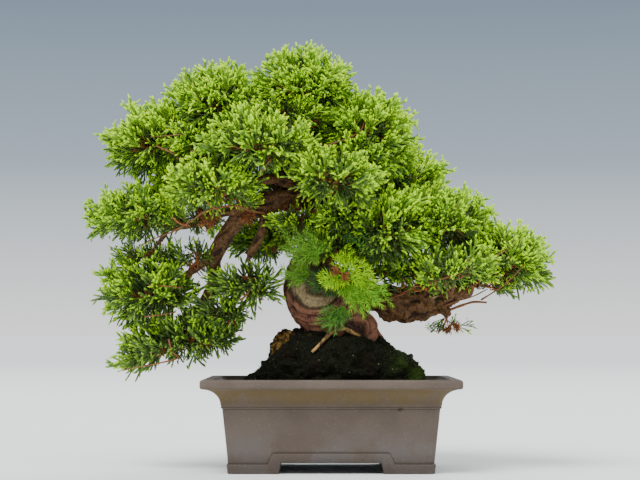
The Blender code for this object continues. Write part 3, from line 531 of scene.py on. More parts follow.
def mound_surface(turns, rises):
    """Points and outward directions of the mound.

    A rise t from 0 at its foot to 1 on its ridge is the upward share of a sphere's direction to the power
    MOUND_STEEP. The outline has three broad lobes and seven slight ones, and the ridge
    follows its heights along X.
    """
    up = rises ** (1 / MOUND_STEEP)
    flat = np.sqrt(1 - up**2)
    dx, dy = flat * np.cos(turns), flat * np.sin(turns)
    lobes = 1 + sum(depth * np.sin(many * turns + turn) for many, depth, turn in MOUND_LOBES)
    x = MOUND_MIDDLE + MOUND_HALF[0] * dx
    ridge = np.interp(x, [p[0] for p in MOUND_RIDGE], [p[1] for p in MOUND_RIDGE])
    points = np.stack([x, MOUND_HALF[1] * dy * lobes, MOUND_FOOT + (ridge - MOUND_FOOT) * rises], axis=-1)
    outward = np.stack([dx, dy, 0.25 + up], axis=-1)
    return points, outward / np.linalg.norm(outward, axis=-1, keepdims=True)


def eased(value, low, high):
    """0 below one value and 1 above another, with an S curve between them."""
    t = np.clip((value - low) / (high - low), 0, 1)
    return t * t * (3 - 2 * t)


turns, rises = np.meshgrid(np.arange(MOUND_ROUND) * 2 * math.pi / MOUND_ROUND,
                           1 - (1 - np.linspace(0, 1, MOUND_ROWS)) ** 1.8)
mound_points, mound_out = mound_surface(turns, rises)
relief = sum(height * lumps(mound_points, size, 41 + i) for i, (size, height) in enumerate(MOUND_RELIEF))
root_line = smooth_path(ROOT_KEYS, 1.5)[:, :3]
to_root = np.min([np.linalg.norm(mound_points - place, axis=-1) for place in root_line], axis=0)
relief = relief * eased(to_root, 1.0, 4.5) - 0.8 * eased(to_root, 4.0, 1.2)


def past_wood(points):
    """How far points lie outside the nearest woody place; less than 0 inside it."""
    return np.min([np.linalg.norm((points - w[:3]) * (1, 0.8, 1), axis=-1) - w[3] for w in BARE_WOOD], axis=0)


bare = eased(past_wood(mound_points) + 2.2 * lumps(mound_points, 3.0, 51), 0.0, -2.5)
splits = -np.abs(lumps(mound_points * (1, 1, 0.22), 1.7, 52))
mound_points = mound_points + mound_out * (relief + bare * (0.7 + 3.2 * splits))[..., None]
# Painted shade down in the splits of the bare wood.
split_dark = bare * eased(-splits, 0.5, 0.12)
first = mound_points[0].mean(axis=0)
mound_all = np.vstack([mound_points.reshape(-1, 3), [first]])
base_fan = np.stack([np.roll(np.arange(MOUND_ROUND), -1), np.arange(MOUND_ROUND),
                     np.full(MOUND_ROUND, len(mound_all) - 1)], axis=1)
mound_faces = grid_faces(MOUND_ROWS, MOUND_ROUND, closed=True)

# Moss over old bark: nearly black in its hollows, olive where light reaches, with bare wood that is tan and
# split along its grain, painted shade darkening the splits, and pale specks of grit.
moss, moss_tree, moss_shader = finish_of("mossy_root_mass", "#22250F", 0.95, Specular_IOR_Level=0.12)
place = add(moss_tree, "TexCoord").outputs["Object"]
fine = add(moss_tree, "TexNoise", {"Vector": place, "Scale": 900.0, "Detail": 4.0}).outputs[0]
broad = add(moss_tree, "TexNoise", {"Vector": place, "Scale": 85.0, "Detail": 4.0}).outputs[0]
green = mixed(moss_tree, stretched(moss_tree, fine, 0.35, 0.7), linear("#0B0B05"), linear("#1E2010"))
green = mixed(moss_tree, stretched(moss_tree, broad, 0.5, 0.68, 0, 0.7), green, linear("#1A110A"))
greener = add(moss_tree, "Attribute", attribute_name="green").outputs["Fac"]
green = mixed(moss_tree, greener, green, mixed(moss_tree, fine, linear("#16220A"), linear("#3F5417")))
is_bare = add(moss_tree, "Attribute", attribute_name="bare").outputs["Fac"]
wood = mixed(moss_tree, stretched(moss_tree, fine, 0.3, 0.7), linear("#5E4520"), linear("#B08A46"))
in_split = add(moss_tree, "Attribute", attribute_name="split").outputs["Fac"]
# Painted shade in the splits.
wood = mixed(moss_tree, in_split, linear("#1E150A"), wood)
green = mixed(moss_tree, is_bare, green, wood)
specks = add(moss_tree, "TexVoronoi", {"Vector": place, "Scale": 210.0}).outputs["Distance"]
green = mixed(moss_tree, stretched(moss_tree, specks, 0.085, 0.05), green, linear("#8F8462"))
moss_tree.links.new(green, moss_shader.inputs["Base Color"])
rough = add(moss_tree, "Bump", {"Height": fine, "Strength": 0.8, "Distance": 0.0008})
moss_tree.links.new(rough.outputs[0], moss_shader.inputs["Normal"])

right_side = eased(mound_points[..., 0], *GREEN_FROM) * eased(lumps(mound_points, 7.0, 53), -0.5, 0.3)
mound = piece("root_mass", mound_all, [mound_faces, base_fan], [moss], smooth_below=180, weld=0.001,
              bare=np.append(bare, 0), green=np.append(right_side, 0), split=np.append(1 - split_dark, 0))
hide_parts("moss_mound")
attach(mound, "root")

# The moss tufts: short pointed leaves that stand off the root mass all over, thickest towards its top, with
# a few longer strays. They are nearly black where it is dry and greener on the right.
MOSS_TUFTS, MOSS_LENGTH, MOSS_WIDTH = 12000, 1.15, 0.38
MOSS_STRAYS = (0.02, 2.2)  # their share, and how much longer they are
MOSS_OVER_WOOD = 1.0  # how far the tufts grow in over the woody places
GREEN_SHARE = (0.08, 0.5)  # share of greener tufts everywhere, and what the right side adds


def spikes(roots, ways, lengths, widths, flatness=0.4):
    """Closed three-sided needles: a small flattened triangle at each root, drawn out to one point."""
    ways = ways / np.linalg.norm(ways, axis=1, keepdims=True)
    side = np.cross(ways, (0.36, 0.48, 0.8))
    side /= np.linalg.norm(side, axis=1, keepdims=True)
    up = np.cross(ways, side) * flatness
    wide = widths[:, None] / 2
    ring = [roots - side * wide - up * wide, roots + side * wide - up * wide, roots + up * wide * 1.2]
    points = np.stack([*ring, roots + ways * lengths[:, None]], axis=1)
    faces = np.array([(0, 2, 1), (0, 1, 3), (1, 2, 3), (2, 0, 3)])
    return points.reshape(-1, 3), (faces + 4 * np.arange(len(roots))[:, None, None]).reshape(-1, 3)


rng = np.random.default_rng(61)
tuft_turn = rng.uniform(0, 2 * math.pi, MOSS_TUFTS)
low_tufts = MOSS_TUFTS // 3
tuft_rise = np.concatenate([rng.uniform(0, 1, low_tufts), 1 - rng.uniform(0, 1, MOSS_TUFTS - low_tufts) ** 2])
tuft_root, tuft_out = mound_surface(tuft_turn, tuft_rise)
tuft_root += tuft_out * sum(h * lumps(tuft_root, s, 41 + i) for i, (s, h) in enumerate(MOUND_RELIEF))[:, None]
mossed = past_wood(tuft_root) > -MOSS_OVER_WOOD
tuft_way = tuft_out + rng.normal(0, 0.5, tuft_out.shape)
tuft_long = MOSS_LENGTH * rng.uniform(0.5, 1.2, MOSS_TUFTS)
tuft_long = tuft_long * np.where(rng.random(MOSS_TUFTS) < MOSS_STRAYS[0], MOSS_STRAYS[1], 1)
fuzz_points, fuzz_faces = spikes((tuft_root - 0.2 * tuft_out)[mossed], tuft_way[mossed], tuft_long[mossed],
                                 np.full(mossed.sum(), MOSS_WIDTH))
likely = GREEN_SHARE[0] + GREEN_SHARE[1] * eased(tuft_root[mossed][:, 0], 24, 42)
is_green = (rng.random(mossed.sum()) < likely).astype(int)
moss_leaves = [finish_of(f"moss_leaf_{kind}", colour, roughness)[0] for kind, colour, roughness in
               (("dark", "#101208", 0.9), ("green", "#33470F", 0.85))]
fuzz = piece("moss_tufts", fuzz_points, fuzz_faces, moss_leaves, np.repeat(is_green, 4), smooth_below=180)
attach(fuzz, "root")

# The surface root: a pale old root with its bark polished off, which arches out from under the trunk and
# goes back into the moss.
ROOT_ROUND, ROOT_STEP = 28, 0.4


def limb_rings(path, around):
    """The rings of a limb: its centres, and the directions from each centre to its ring's points.

    Each ring is square to the path. Its first direction is the cross product of the path's direction with the
    axis that the path crosses most squarely, so that rings never twist.
    """
    centres = path[:, :3]
    lead = np.gradient(centres, axis=0)
    lead /= np.linalg.norm(lead, axis=1, keepdims=True)
    steady = np.eye(3)[np.argmin(np.abs(lead).max(axis=0))]
    first = np.cross(lead, steady)
    first /= np.linalg.norm(first, axis=1, keepdims=True)
    second = np.cross(lead, first)
    angles = np.arange(around) * 2 * math.pi / around
    return centres, first[:, None] * np.cos(angles)[:, None] + second[:, None] * np.sin(angles)[:, None]


def end_caps(around, count):
    """Fans that close a limb's first and last ring. Their middles come after its count of ring points."""
    ring = np.arange(around)
    after = np.roll(ring, -1)
    last = count - around
    return np.vstack([
        np.stack([after, ring, np.full(around, count)], axis=1),
        np.stack([ring + last, after + last, np.full(around, count + 1)], axis=1),
    ])


def limb_surface(path, around, relief):
    """Points and faces of a limb, closed at its ends. Its radius is the path's plus a relief."""
    centres, spokes = limb_rings(path, around)
    points = centres[:, None] + spokes * (path[:, 3, None] + relief)[..., None]
    faces = [grid_faces(len(path), around, closed=True), end_caps(around, len(path) * around)]
    return np.vstack([points.reshape(-1, 3), centres[[0, -1]]]), faces


root_path = smooth_path(ROOT_KEYS, ROOT_STEP)
root_angles = np.arange(ROOT_ROUND) * 2 * math.pi / ROOT_ROUND
root_round = np.stack(np.broadcast_arrays(np.cos(root_angles) * 1.5, np.sin(root_angles) * 1.5,
                                          np.arange(len(root_path))[:, None] * ROOT_STEP * 0.35), axis=-1)
root_points, root_faces = limb_surface(root_path, ROOT_ROUND, 0.16 * lumps(root_round, 0.8, 71))

# Weathered root wood: golden tan, smooth from handling, with darker streaks along its grain.
tan, tan_tree, tan_shader = finish_of("polished_root", "#9A7540", 0.6)
place = add(tan_tree, "TexCoord").outputs["Object"]
streaks = add(tan_tree, "TexNoise", {"Vector": place, "Scale": 420.0, "Detail": 5.0}).outputs[0]
streaked = mixed(tan_tree, stretched(tan_tree, streaks, 0.35, 0.68), linear("#4A3116"), linear("#B28A4C"))
tan_tree.links.new(streaked, tan_shader.inputs["Base Color"])
tan_tree.links.new(add(tan_tree, "Bump", {"Height": streaks, "Strength": 0.4, "Distance": 0.0004}).outputs[0],
                   tan_shader.inputs["Normal"])
surface_root = piece("arching_root", root_points, root_faces, [tan], smooth_below=180)
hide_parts("surface_root")
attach(surface_root, "root")

# The trunk: an old leaning stem with a lobed foot. A vein of live bark, brushed to cinnamon red, runs down
# its left side and sweeps under a bowl of bare grey-tan wood at the front. Its upper bark is dark and rough.
TRUNK_SEAT = 69.0
TRUNK_FLATNESS = 0.78
TRUNK = (
    (9.8, 0, 59, 22.0),
    (7.0, 0, 69, 20.2),
    (3.8, -1, 77, 19.2),
    (-2.5, -3, 87, 19.4),
    (-7.2, -3, 96.5, 17.2),
    (-7.3, 1, 107, 12.7),
    (-2.0, 6, 118, 9.6),
    (-0.4, 7, 130, 8.5),
    (-6.8, 3, 141, 8.2),
    (-16.3, -2, 149, 7.4),
    (-21.5, -4, 160, 6.1),
    (-20.0, -2, 173, 4.8),
    (-14.7, 2, 185, 2.9),
)
FLAT_HEIGHTS = (112.0, 94.0)  # where the flattening starts, and where it is full
FLARE_LOBES, FLARE_DEPTH, FLARE_TURN = 5, 0.07, 0.8
FLARE_HEIGHTS = (90.0, 68.0)
ROUGH_HEIGHTS = (104, 116)  # where the brushed bark turns rough
BARE_TOP = (116, 110)  # where the bare wood ends upward, and where it is whole
TRUNK_SUNK = 3  # how far the trunk's foot reaches down into the moss
TRUNK_ROUND, TRUNK_STEP = 224, 0.5
BOWL = (-7.8, 98.0, 13.8, 14.3)  # the bare bowl's middle along X and Z, its half width and its depth below
FRONT = (-1.0, -7.0)  # how far forward of its middle the front starts, and where it counts fully
BOWL_DEPTH, HOLLOW_DEPTH, LIP_RISE = 2.0, 3.2, 0.8
ARCH = (12.6, 73.6, 9.0)  # the recess between two roots at the right of the foot, and its arch's radius
ARCH_DEPTH = 3.0
WHORL = (15.6, 75.4, 2.3)  # a knot in that recess: place along X and Z, radius
KNOTS = ((-24.0, -6.0, 91.0, 1.1), (-19.6, -13.0, 89.2, 1.3), (-9.0, -20.0, 77.0, 1.6))  # place, radius
PULLED_IN = (  # side, how far, and the heights between which it grows
    (1, 2.6, 88.0, 74.0),
    (1, 4.5, 76.0, 85.0),
    (-1, 3.0, 80.0, 72.0),
)
VEIN_GRAIN, ROUGH_GRAIN = 2.0, 2.6  # spacing of the ridges of the brushed vein and of the rough bark
STRAND_GRAIN, WOOD_GRAIN = 1.0, 1.35  # the same for the vein's fine strands and for the bare wood's grooves
RIDGE_RISE, STRAND_RISE, LUMP_RISE, FLAKE_RISE = 0.55, 0.22, 1.1, 0.85  # heights of the bark's relief
GROOVE_RISE, KNOT_RISE, WHORL_RISE = 0.42, 0.7, 1.6  # and of the bare wood's, the knots' and the whorl's


def furrowed(points, size, seed):
    """Round ridges with sharp furrows between, from about -1 to 1: the root of a random relief's size."""
    return 2.4 * np.sqrt(np.abs(lumps(points, size, seed))) - 1


trunk_path = smooth_path(TRUNK, TRUNK_STEP)
centres, spokes = limb_rings(trunk_path, TRUNK_ROUND)
trunk_points = centres[:, None] + spokes * trunk_path[:, 3, None, None]
low, flare = (np.clip((above - trunk_points[..., 2]) / (above - below), 0, 1)
              for above, below in (FLAT_HEIGHTS, FLARE_HEIGHTS))
from_middle = trunk_points - centres[:, None]
bearing = np.arctan2(from_middle[..., 1], from_middle[..., 0])
lobe = 1 + FLARE_DEPTH * flare * np.cos(FLARE_LOBES * bearing + FLARE_TURN)
from_middle[..., 0] *= lobe
from_middle[..., 1] *= lobe * (1 - (1 - TRUNK_FLATNESS) * low)
trunk_points = centres[:, None] + from_middle

# How far out from the bowl's middle line a point lies: 0 on it and 1 on the edge of the live bark. Above the
# bowl's middle the lines of this measure run straight up, so the grain flows in a U.
x, y, z = np.moveaxis(trunk_points, -1, 0)
front = eased(y - centres[:, None, 1], *FRONT)
uneven = 0.06 * lumps(trunk_points, 5.0, 81)
bowl = np.hypot((x - BOWL[0]) / BOWL[2], np.minimum(z - BOWL[1], 0) / BOWL[3]) + uneven
dead = front * eased(bowl, 1.0, 0.96) * eased(z + 3 * lumps(trunk_points, 4.0, 91), *BARE_TOP)
hollow = dead * eased(bowl + 0.1 * lumps(trunk_points, 3.0, 92), 0.66, 0.5)
arch = np.hypot(0.8 * (x - ARCH[0]), 1.15 * (z - ARCH[1])) + 30 * (1 - front)
arch = arch + 2.2 * lumps(trunk_points, 5.0, 93)
recess = eased(arch, 0.8 * ARCH[2], 0.25 * ARCH[2])
band = swell(arch / ARCH[2], 1.0, 0.3) * front
travelled = (np.arange(len(trunk_path)) * TRUNK_STEP)[:, None]
swirl = eased(arch, 1.7 * ARCH[2], 1.1 * ARCH[2])[..., None]
flow = np.stack([bowl * BOWL[2], 0.13 * x, 0.13 * z], axis=-1)
flow = (1 - swirl) * flow + swirl * np.stack([arch, 0.13 * x, 0.13 * z], axis=-1)
upright = np.stack(np.broadcast_arrays(x, y, travelled * 0.16), axis=-1)
grain = front[..., None] * flow + (1 - front[..., None]) * upright
ridges = furrowed(grain, VEIN_GRAIN, 82)
strands = furrowed(grain, STRAND_GRAIN, 83)
rough = np.maximum(eased(z + 6 * lumps(trunk_points, 14.0, 84), *ROUGH_HEIGHTS), 0.7 * recess)
flakes = 1 - 2.4 * np.abs(lumps(upright * (1, 1, 2.2), ROUGH_GRAIN, 85)) + 0.5 * lumps(trunk_points, 1.5, 86)
to_whorl = np.hypot(x - WHORL[0], z - WHORL[1]) + 30 * (1 - front)
whorl = swell(to_whorl, 0, WHORL[2], 4) * (0.8 + 0.5 * np.cos(to_whorl * 4.0))
to_knots = [np.linalg.norm(trunk_points - k[:3], axis=-1) / k[3] for k in KNOTS]
knots = np.max([np.exp(-(away**2)) for away in to_knots], axis=0)
grooves = furrowed(grain, WOOD_GRAIN, 87)
smooth = RIDGE_RISE * ridges + STRAND_RISE * strands + LUMP_RISE * lumps(trunk_points, 9.0, 88)
live = (1 - rough) * smooth + rough * FLAKE_RISE * flakes
live = live + LIP_RISE * front * swell(bowl, 1.12, 0.09) + 1.0 * band + KNOT_RISE * knots
live = live - ARCH_DEPTH * recess + WHORL_RISE * whorl
sunk = BOWL_DEPTH * eased(bowl, 1.02, 0.93) - 0.8 * swell(bowl, 0.78, 0.12)
trunk_relief = (1 - dead) * live + dead * (GROOVE_RISE * grooves - sunk) - HOLLOW_DEPTH * hollow
for side_sign, far, above, below in PULLED_IN:
    to_side = np.clip(side_sign * from_middle[..., 0] / trunk_path[:, None, 3], 0, 1)
    trunk_relief = trunk_relief - far * eased(z, above, below) * to_side**1.5
outward = from_middle / np.linalg.norm(from_middle, axis=-1, keepdims=True)
trunk_points = trunk_points + outward * trunk_relief[..., None]
# The crack share darkens the bark: painted shade in the furrows between ridges, strands and flakes, down the
# bowl's stepped edge, in the hollow and in the recess, with the knots' own dark.
split = np.maximum(eased(np.where(dead > 0.5, grooves, ridges), 0.0, -0.8), 0.7 * eased(strands, -0.1, -0.8))
crack = split * (0.85 - 0.25 * dead)
crack = (1 - rough) * crack + rough * eased(flakes, 0.1, -0.9)
crack = np.maximum(crack, front * swell(bowl, 0.99, 0.035) * eased(z, 116, 108))
crack = np.clip(np.maximum(crack, 0.7 * hollow) + 0.5 * recess * (1 - whorl) + 0.8 * knots, 0, 1)
kept = trunk_points[:, :, 2].max(axis=1) > TRUNK_SEAT - TRUNK_SUNK - 1
start = int(np.argmax(kept))
trunk_points, crack, dead, rough = (a[start:] for a in (trunk_points, crack, dead, rough))
# The streak share lightens the live bark along random streaks and the raised strands, with a painted
# highlight on the raised band round the recess.
streak = (0.5 + 0.45 * lumps(grain, 3.0, 89) + 0.25 * strands + 0.45 * band)[start:]
trunk_points[..., 2] = np.maximum(trunk_points[..., 2], TRUNK_SEAT - TRUNK_SUNK)
count = trunk_points.shape[0] * TRUNK_ROUND
trunk_all = np.vstack([trunk_points.reshape(-1, 3), trunk_points[[0, -1]].mean(axis=1)])
trunk_faces = [grid_faces(trunk_points.shape[0], TRUNK_ROUND, closed=True), end_caps(TRUNK_ROUND, count)]


def bark_material(name, live_low, live_high, rough_low, rough_high):
    """Bark that reads its wood, cracks and roughness from the mesh, so that colour follows the relief.

    Live bark mixes two reds along its streaks, with a painted highlight on the trunk's raised band, rough
    bark two browns, bare wood two grey tans, and every crack goes down to near black: painted shade in the
    furrows, the hollow and the recess, and the dark of the trunk's knots.
    """
    made, tree, shader = finish_of(name, live_low, 0.75, Specular_IOR_Level=0.3)
    place = add(tree, "TexCoord").outputs["Object"]
    fibres = {"Vector": place, "Scale": 750.0, "Detail": 5.0, "Roughness": 0.6}
    fine = add(tree, "TexNoise", fibres).outputs[0]
    read = {key: add(tree, "Attribute", attribute_name=key).outputs["Fac"]
            for key in ("streak", "rough", "dead", "crack")}
    colour = mixed(tree, stretched(tree, read["streak"], 0.25, 0.75), linear(live_low), linear(live_high))
    colour = mixed(tree, stretched(tree, fine, 0.45, 0.75, 0, 0.4), colour, linear("#AD7C58"))
    scaly = mixed(tree, stretched(tree, fine, 0.3, 0.7), linear(rough_low), linear(rough_high))
    colour = mixed(tree, read["rough"], colour, scaly)
    wood = mixed(tree, stretched(tree, fine, 0.3, 0.72), linear("#826A46"), linear("#C2AB80"))
    wood = mixed(tree, stretched(tree, read["streak"], 0.3, 0.8, 0, 0.5), wood, linear("#9A8468"))
    colour = mixed(tree, read["dead"], colour, wood)
    colour = mixed(tree, stretched(tree, read["crack"], 0.0, 1.0, 0, 0.85), colour, linear("#1D120B"))
    tree.links.new(colour, shader.inputs["Base Color"])
    tree.links.new(add(tree, "Bump", {"Height": fine, "Strength": 0.5, "Distance": 0.0005}).outputs[0],
                   shader.inputs["Normal"])
    return made


# Brushed juniper bark: dry and matt, cinnamon red where it was cleaned, grey-tan where bare.
brushed_bark = bark_material("brushed_juniper_bark", "#45221A", "#8A5A44", "#2A1A11", "#583A28")
trunk = piece("trunk_bark", trunk_all, trunk_faces, [brushed_bark], smooth_below=180,
              streak=np.append(streak, [0, 0]), rough=np.append(rough, [0, 1]),
              dead=np.append(dead, [0, 0]), crack=np.append(crack, [1, 0]))
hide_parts("trunk")
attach(trunk, "root")

# The boughs: gnarled live limbs with loose scaly grey-brown bark. The low one to the right is the thickest,
# with a ragged underside and a healed cut. Each leaves the middle of its parent at its first point.
BOUGHS = {
    "left_shoulder": ((-11, 0, 143.5, 6.4), (-24, -6, 141.5, 6.3), (-36, -9, 138.3, 5.8),
                      (-45, -10, 135.5, 5.0)),
    "left_drop": ((-44.5, -10, 135.6, 4.8), (-50.5, -8, 129, 4.3), (-57.5, -6, 118.5, 4.0),
                  (-61.8, -5, 108.5, 3.8), (-61, -3, 98, 3.8), (-65.7, -2, 88.6, 3.0), (-71.5, 0, 81, 2.0)),
    "drop_side": ((-60, -5, 112, 2.6), (-67, -6, 108, 2.3), (-76, -5, 101.5, 1.7)),
    "left_long": ((-41, -9, 136.8, 3.0), (-50, -16, 135.2, 2.9), (-61.8, -19, 132.5, 2.6),
                  (-73, -16, 127.8, 2.2), (-84, -11, 126.5, 1.7)),
    "inner_drop": ((-35.5, -9, 137.5, 2.7), (-34.5, -13, 129.5, 2.6), (-37.8, -14, 119.3, 2.3),
                   (-43, -14, 111.5, 2.0)),
    "right_low": ((-3, 3, 101.5, 6.4), (22, 6, 91.2, 7.0), (36.7, 4, 86.8, 8.4), (51.4, 2, 88.2, 7.2),
                  (64, 0, 91.8, 5.2), (74, 0, 97, 3.2)),
    "right_spur": ((56.6, 0, 88.5, 3.4), (60.6, -3, 82.6, 2.5), (61.6, -4, 80.5, 1.9)),
    "right_rise": ((48, 2, 88.5, 4.4), (51.5, 3, 99, 3.4), (54.5, 1, 108, 2.6)),
    "right_front": ((60, 1, 90.5, 3.2), (62, -10, 94.2, 2.4), (63.5, -15.5, 97, 1.8)),
    "upper_left": ((-21, -4, 159.5, 4.3), (-36.3, -4, 164, 3.7), (-50.6, -2, 167, 3.1),
                   (-66.6, 0, 168.5, 2.5), (-74.5, 2, 169.6, 1.9)),
    "top_left": ((-20, -2, 173, 3.3), (-31, -2, 179, 2.7), (-39, -1, 183, 2.0)),
    "upper_right": ((-21, -4, 161, 3.8), (-9, -3, 166.8, 3.1), (1.5, -2, 170.5, 2.2)),
    "front_left": ((-16.3, -2, 148.5, 3.7), (-27.6, -17, 151, 2.9), (-41, -28, 149.7, 2.0)),
    "front_upper": ((-21.5, -4, 159.8, 3.3), (-25, -17, 162.5, 2.6), (-28.5, -25, 164, 1.9)),
    "front_right": ((-6.8, 3, 140.7, 3.8), (-3, -15, 143.8, 2.9), (-1, -24, 146, 2.1)),
    "right_mid": ((-0.4, 7, 130.3, 4.4), (9.5, 0, 130, 3.4), (16, -6, 129.2, 2.5)),
    "front_shoot": ((-7.3, 1, 106, 2.6), (-2, -12, 108.5, 1.7), (1.5, -18, 109.5, 1.2)),
    "back_left": ((-16.3, -2, 148.5, 3.8), (-30, 16, 152.4, 3.0), (-46, 30, 155.5, 2.2)),
    "back_right": ((-6.8, 3, 140.7, 3.8), (6.7, 21, 145.1, 3.0), (18, 33, 147.5, 2.2)),
    "back_low": ((-2, 6, 119.6, 3.8), (-0.5, 23, 121.4, 2.8), (1.2, 34, 123, 2.1)),
    "back_upper": ((-21.5, -4, 161, 3.4), (-20.2, 14, 167.5, 2.7), (-19, 26, 171, 2.0)),
    "back_inner": ((-0.4, 7, 128.2, 3.8), (-12.2, 22, 126.7, 2.8), (-23, 31, 125, 2.0)),
}
BOUGH_STEP, BOUGH_CELL = 0.75, 0.62
PLATE_RISE, CRUMB_RISE, KNOB_RISE = 0.55, 0.30, 0.75  # heights of the boughs' relief, at full size
RAGGED = {"right_low": 1.9, "right_spur": 1.2, "right_rise": 1.2}  # how much rougher these are than the rest
SCAR = (54.4, 90.0, 2.1)  # the healed cut on the front of the low right bough: place along X and Z, radius

bark_points, bark_quads, bark_tris, bark_reads, done = [], [], [], [], 0
for number, (name, keys) in enumerate(BOUGHS.items()):
    path = smooth_path(keys, BOUGH_STEP)
    around = int(max(18, 2 * math.pi * path[:, 3].max() / BOUGH_CELL))
    middles, spokes = limb_rings(path, around)
    skin = middles[:, None] + spokes * path[:, 3, None, None]
    wound = spokes * path[:, 3, None, None] + (middles - middles[0])[:, None] * 0.4
    plates = 1 - 2.2 * np.abs(lumps(wound, 2.3, 100 + number))
    crumbs = lumps(skin, 1.1, 130 + number)
    knots = lumps(skin, 6.0, 160 + number)
    size = RAGGED.get(name, 1.0) * np.clip(path[:, 3, None] / 5.0, 0.35, 1.1)
    relief = size * (PLATE_RISE * plates + CRUMB_RISE * crumbs + KNOB_RISE * knots)
    scar = np.zeros_like(relief)
    if name == "right_low":
        hanging = eased(-spokes[..., 2], 0.3, 0.9)
        relief += hanging * (0.9 * np.abs(lumps(skin, 2.6, 191)) + 1.1 * lumps(skin, 4.0, 192))
        to_scar = np.hypot(skin[..., 0] - SCAR[0], skin[..., 2] - SCAR[1]) + 50 * (spokes[..., 1] > 0)
        relief += 0.8 * swell(to_scar, SCAR[2], 0.55) - 0.8 * (to_scar < SCAR[2] - 0.4)
        scar = swell(to_scar, 0, SCAR[2], 4)
    points, (quads, tris) = limb_surface(path, around, relief)
    bark_points.append(points)
    bark_quads.append(quads + done)
    bark_tris.append(tris + done)
    done += len(points)
    red = 0.5 + 0.5 * lumps(skin, 5.0, 195)
    # Painted shade: the split share darkens the bark between its plates and crumbs.
    split = np.clip(eased(-plates, -0.3, 0.8) + 0.5 * eased(-crumbs, 0.2, 0.8), 0, 1)
    bark_reads.append(np.concatenate([
        np.stack([red, np.clip(0.9 - 0.5 * scar, 0, 1), scar * 0.8, split], axis=-1).reshape(-1, 4),
        [(0.5, 0.9, 0, 0.3)] * 2,
    ]))
reads = np.vstack(bark_reads)

# Scaly juniper bark: grey-brown plates that lift at their edges, reddish where they have fallen off.
scaly_bark = bark_material("scaly_juniper_bark", "#6E4028", "#94602F", "#33210F", "#7A5836")
bark_faces = [np.vstack(bark_quads), np.vstack(bark_tris)]
boughs = piece("bough_bark", np.vstack(bark_points), bark_faces, [scaly_bark], smooth_below=180,
               streak=reads[:, 0], rough=reads[:, 1], dead=reads[:, 2], crack=reads[:, 3])
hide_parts(*("bough_" + name for name in BOUGHS))
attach(boughs, "root")

# The crown: masses of foliage, each fed by one limb and kept to its own egg-shaped space. Twigs fork from
# the limb's tip by halves until each ends in a tuft of three or so sprays.
MASSES = {  # limb, middle, half sizes, tilt about Y in degrees with the right side up
    "apex": ("trunk", (-15, 1, 200), (28, 37, 23.5), 0),
    "top_left": ("top_left", (-62, 0, 192), (29, 39, 23), 20),
    "top_right": ("upper_right", (20, -2, 173), (28, 39, 28), -30),
    "left_upper": ("upper_left", (-95, 3, 173), (27, 35, 22), 12),
    "front_upper": ("front_upper", (-38, -42, 167), (31, 28, 19), 0),
    "front_left": ("front_left", (-62, -38, 147), (26, 28, 16), 6),
    "left_mid": ("left_long", (-104, -5, 134), (27.5, 35, 17), 8),
    "front_right": ("front_right", (2, -41, 150), (25, 28, 19), -8),
    "right_inner": ("right_mid", (31, -20, 125), (23, 31, 23), -10),
    "right_upper": ("right_rise", (60, 0, 130), (28, 39, 21), -16),
    "right_tip": ("right_low", (93, 0, 110), (27, 33, 19), -14),
    "right_under": ("right_front", (65, -31, 104), (25, 20, 13), 4),
    "right_sprig": ("right_spur", (62.6, -4, 75.5), (13, 10, 7.5), 0),
    "front_young": ("front_shoot", (8, -28, 104), (21, 14, 22), 0),
    "drop_upper": ("drop_side", (-97, -2, 93), (27, 28, 22), 0),
    "drop_low": ("left_drop", (-82, 0, 67), (38, 26, 17.5), 15),
    "drop_right": ("inner_drop", (-46, -18, 96), (22, 17, 15), 0),
    "back_inner": ("back_inner", (-38, 40, 123), (22, 23, 14), 0),
    "back_upper": ("back_upper", (-17, 48, 180), (42, 29, 27), 0),
    "back_left": ("back_left", (-72, 44, 160), (32, 30, 22), 8),
    "back_right": ("back_right", (38, 46, 151), (31, 30, 25), -12),
    "back_low": ("back_low", (10, 49, 122), (28, 25, 19), 0),
    # Loose growth along the boughs, which closes the crown between the masses above.
    "loose_left": ("left_long", (-74, -14, 131), (24, 19, 11), 4),
    "loose_gap": ("upper_left", (-76, 2, 152), (19, 22, 11), 0),
    "loose_middle": ("right_mid", (8, -24, 133), (16, 15, 14), 0),
    "loose_right": ("right_rise", (43, -12, 104), (21, 17, 12), -6),
    "loose_tip": ("right_low", (82, -8, 98), (19, 17, 9), -10),
    "loose_drop": ("left_drop", (-58, -12, 83), (19, 16, 15), 0),
    "loose_brow": ("front_upper", (-30, -22, 184), (36, 16, 12), 0),
    "loose_brow_left": ("upper_left", (-72, -20, 169), (20, 17, 13), 0),
    "loose_brow_right": ("upper_right", (15, -26, 162), (18, 15, 14), -20),
    "loose_shoulder": ("front_left", (-57, -26, 141), (25, 13, 9), 0),
    "loose_heart": ("front_shoot", (-1, -19, 115), (20, 12, 13), 0),
    "loose_neck": ("right_low", (25, -12, 105), (16, 14, 11), 0),
    "loose_edge": ("left_long", (-98, -6, 113), (20, 20, 8), 0),
    "loose_fall": ("drop_side", (-74, -8, 110.5), (20, 13, 11), 0),
    "loose_collar": ("front_right", (-18, -20, 129), (17, 13, 10), 0),
    "loose_hollow": ("back_left", (-29, 10, 150), (14, 10, 10), 0),
    "loose_ledge": ("right_low", (45, -14, 96), (20, 12, 7), -4),
}
TUFT_AREA = 168.0  # square millimetres of a mass's surface for each tuft
TUFT_SPRAYS = 3
INNER_SHARE = 0.42  # inner tufts, as a share of the outer ones
INNER_DEPTH = 0.66  # how far out through a mass they stand
SPRAY_LENGTH = 17.0
UP_BIAS = 0.50
OUT_BIAS = 0.32
SPREAD = 0.54
INTERLOCK = -0.34  # how far sprays may lean into a neighbour's space
SPRAY_LIMB_GAP = 0.4
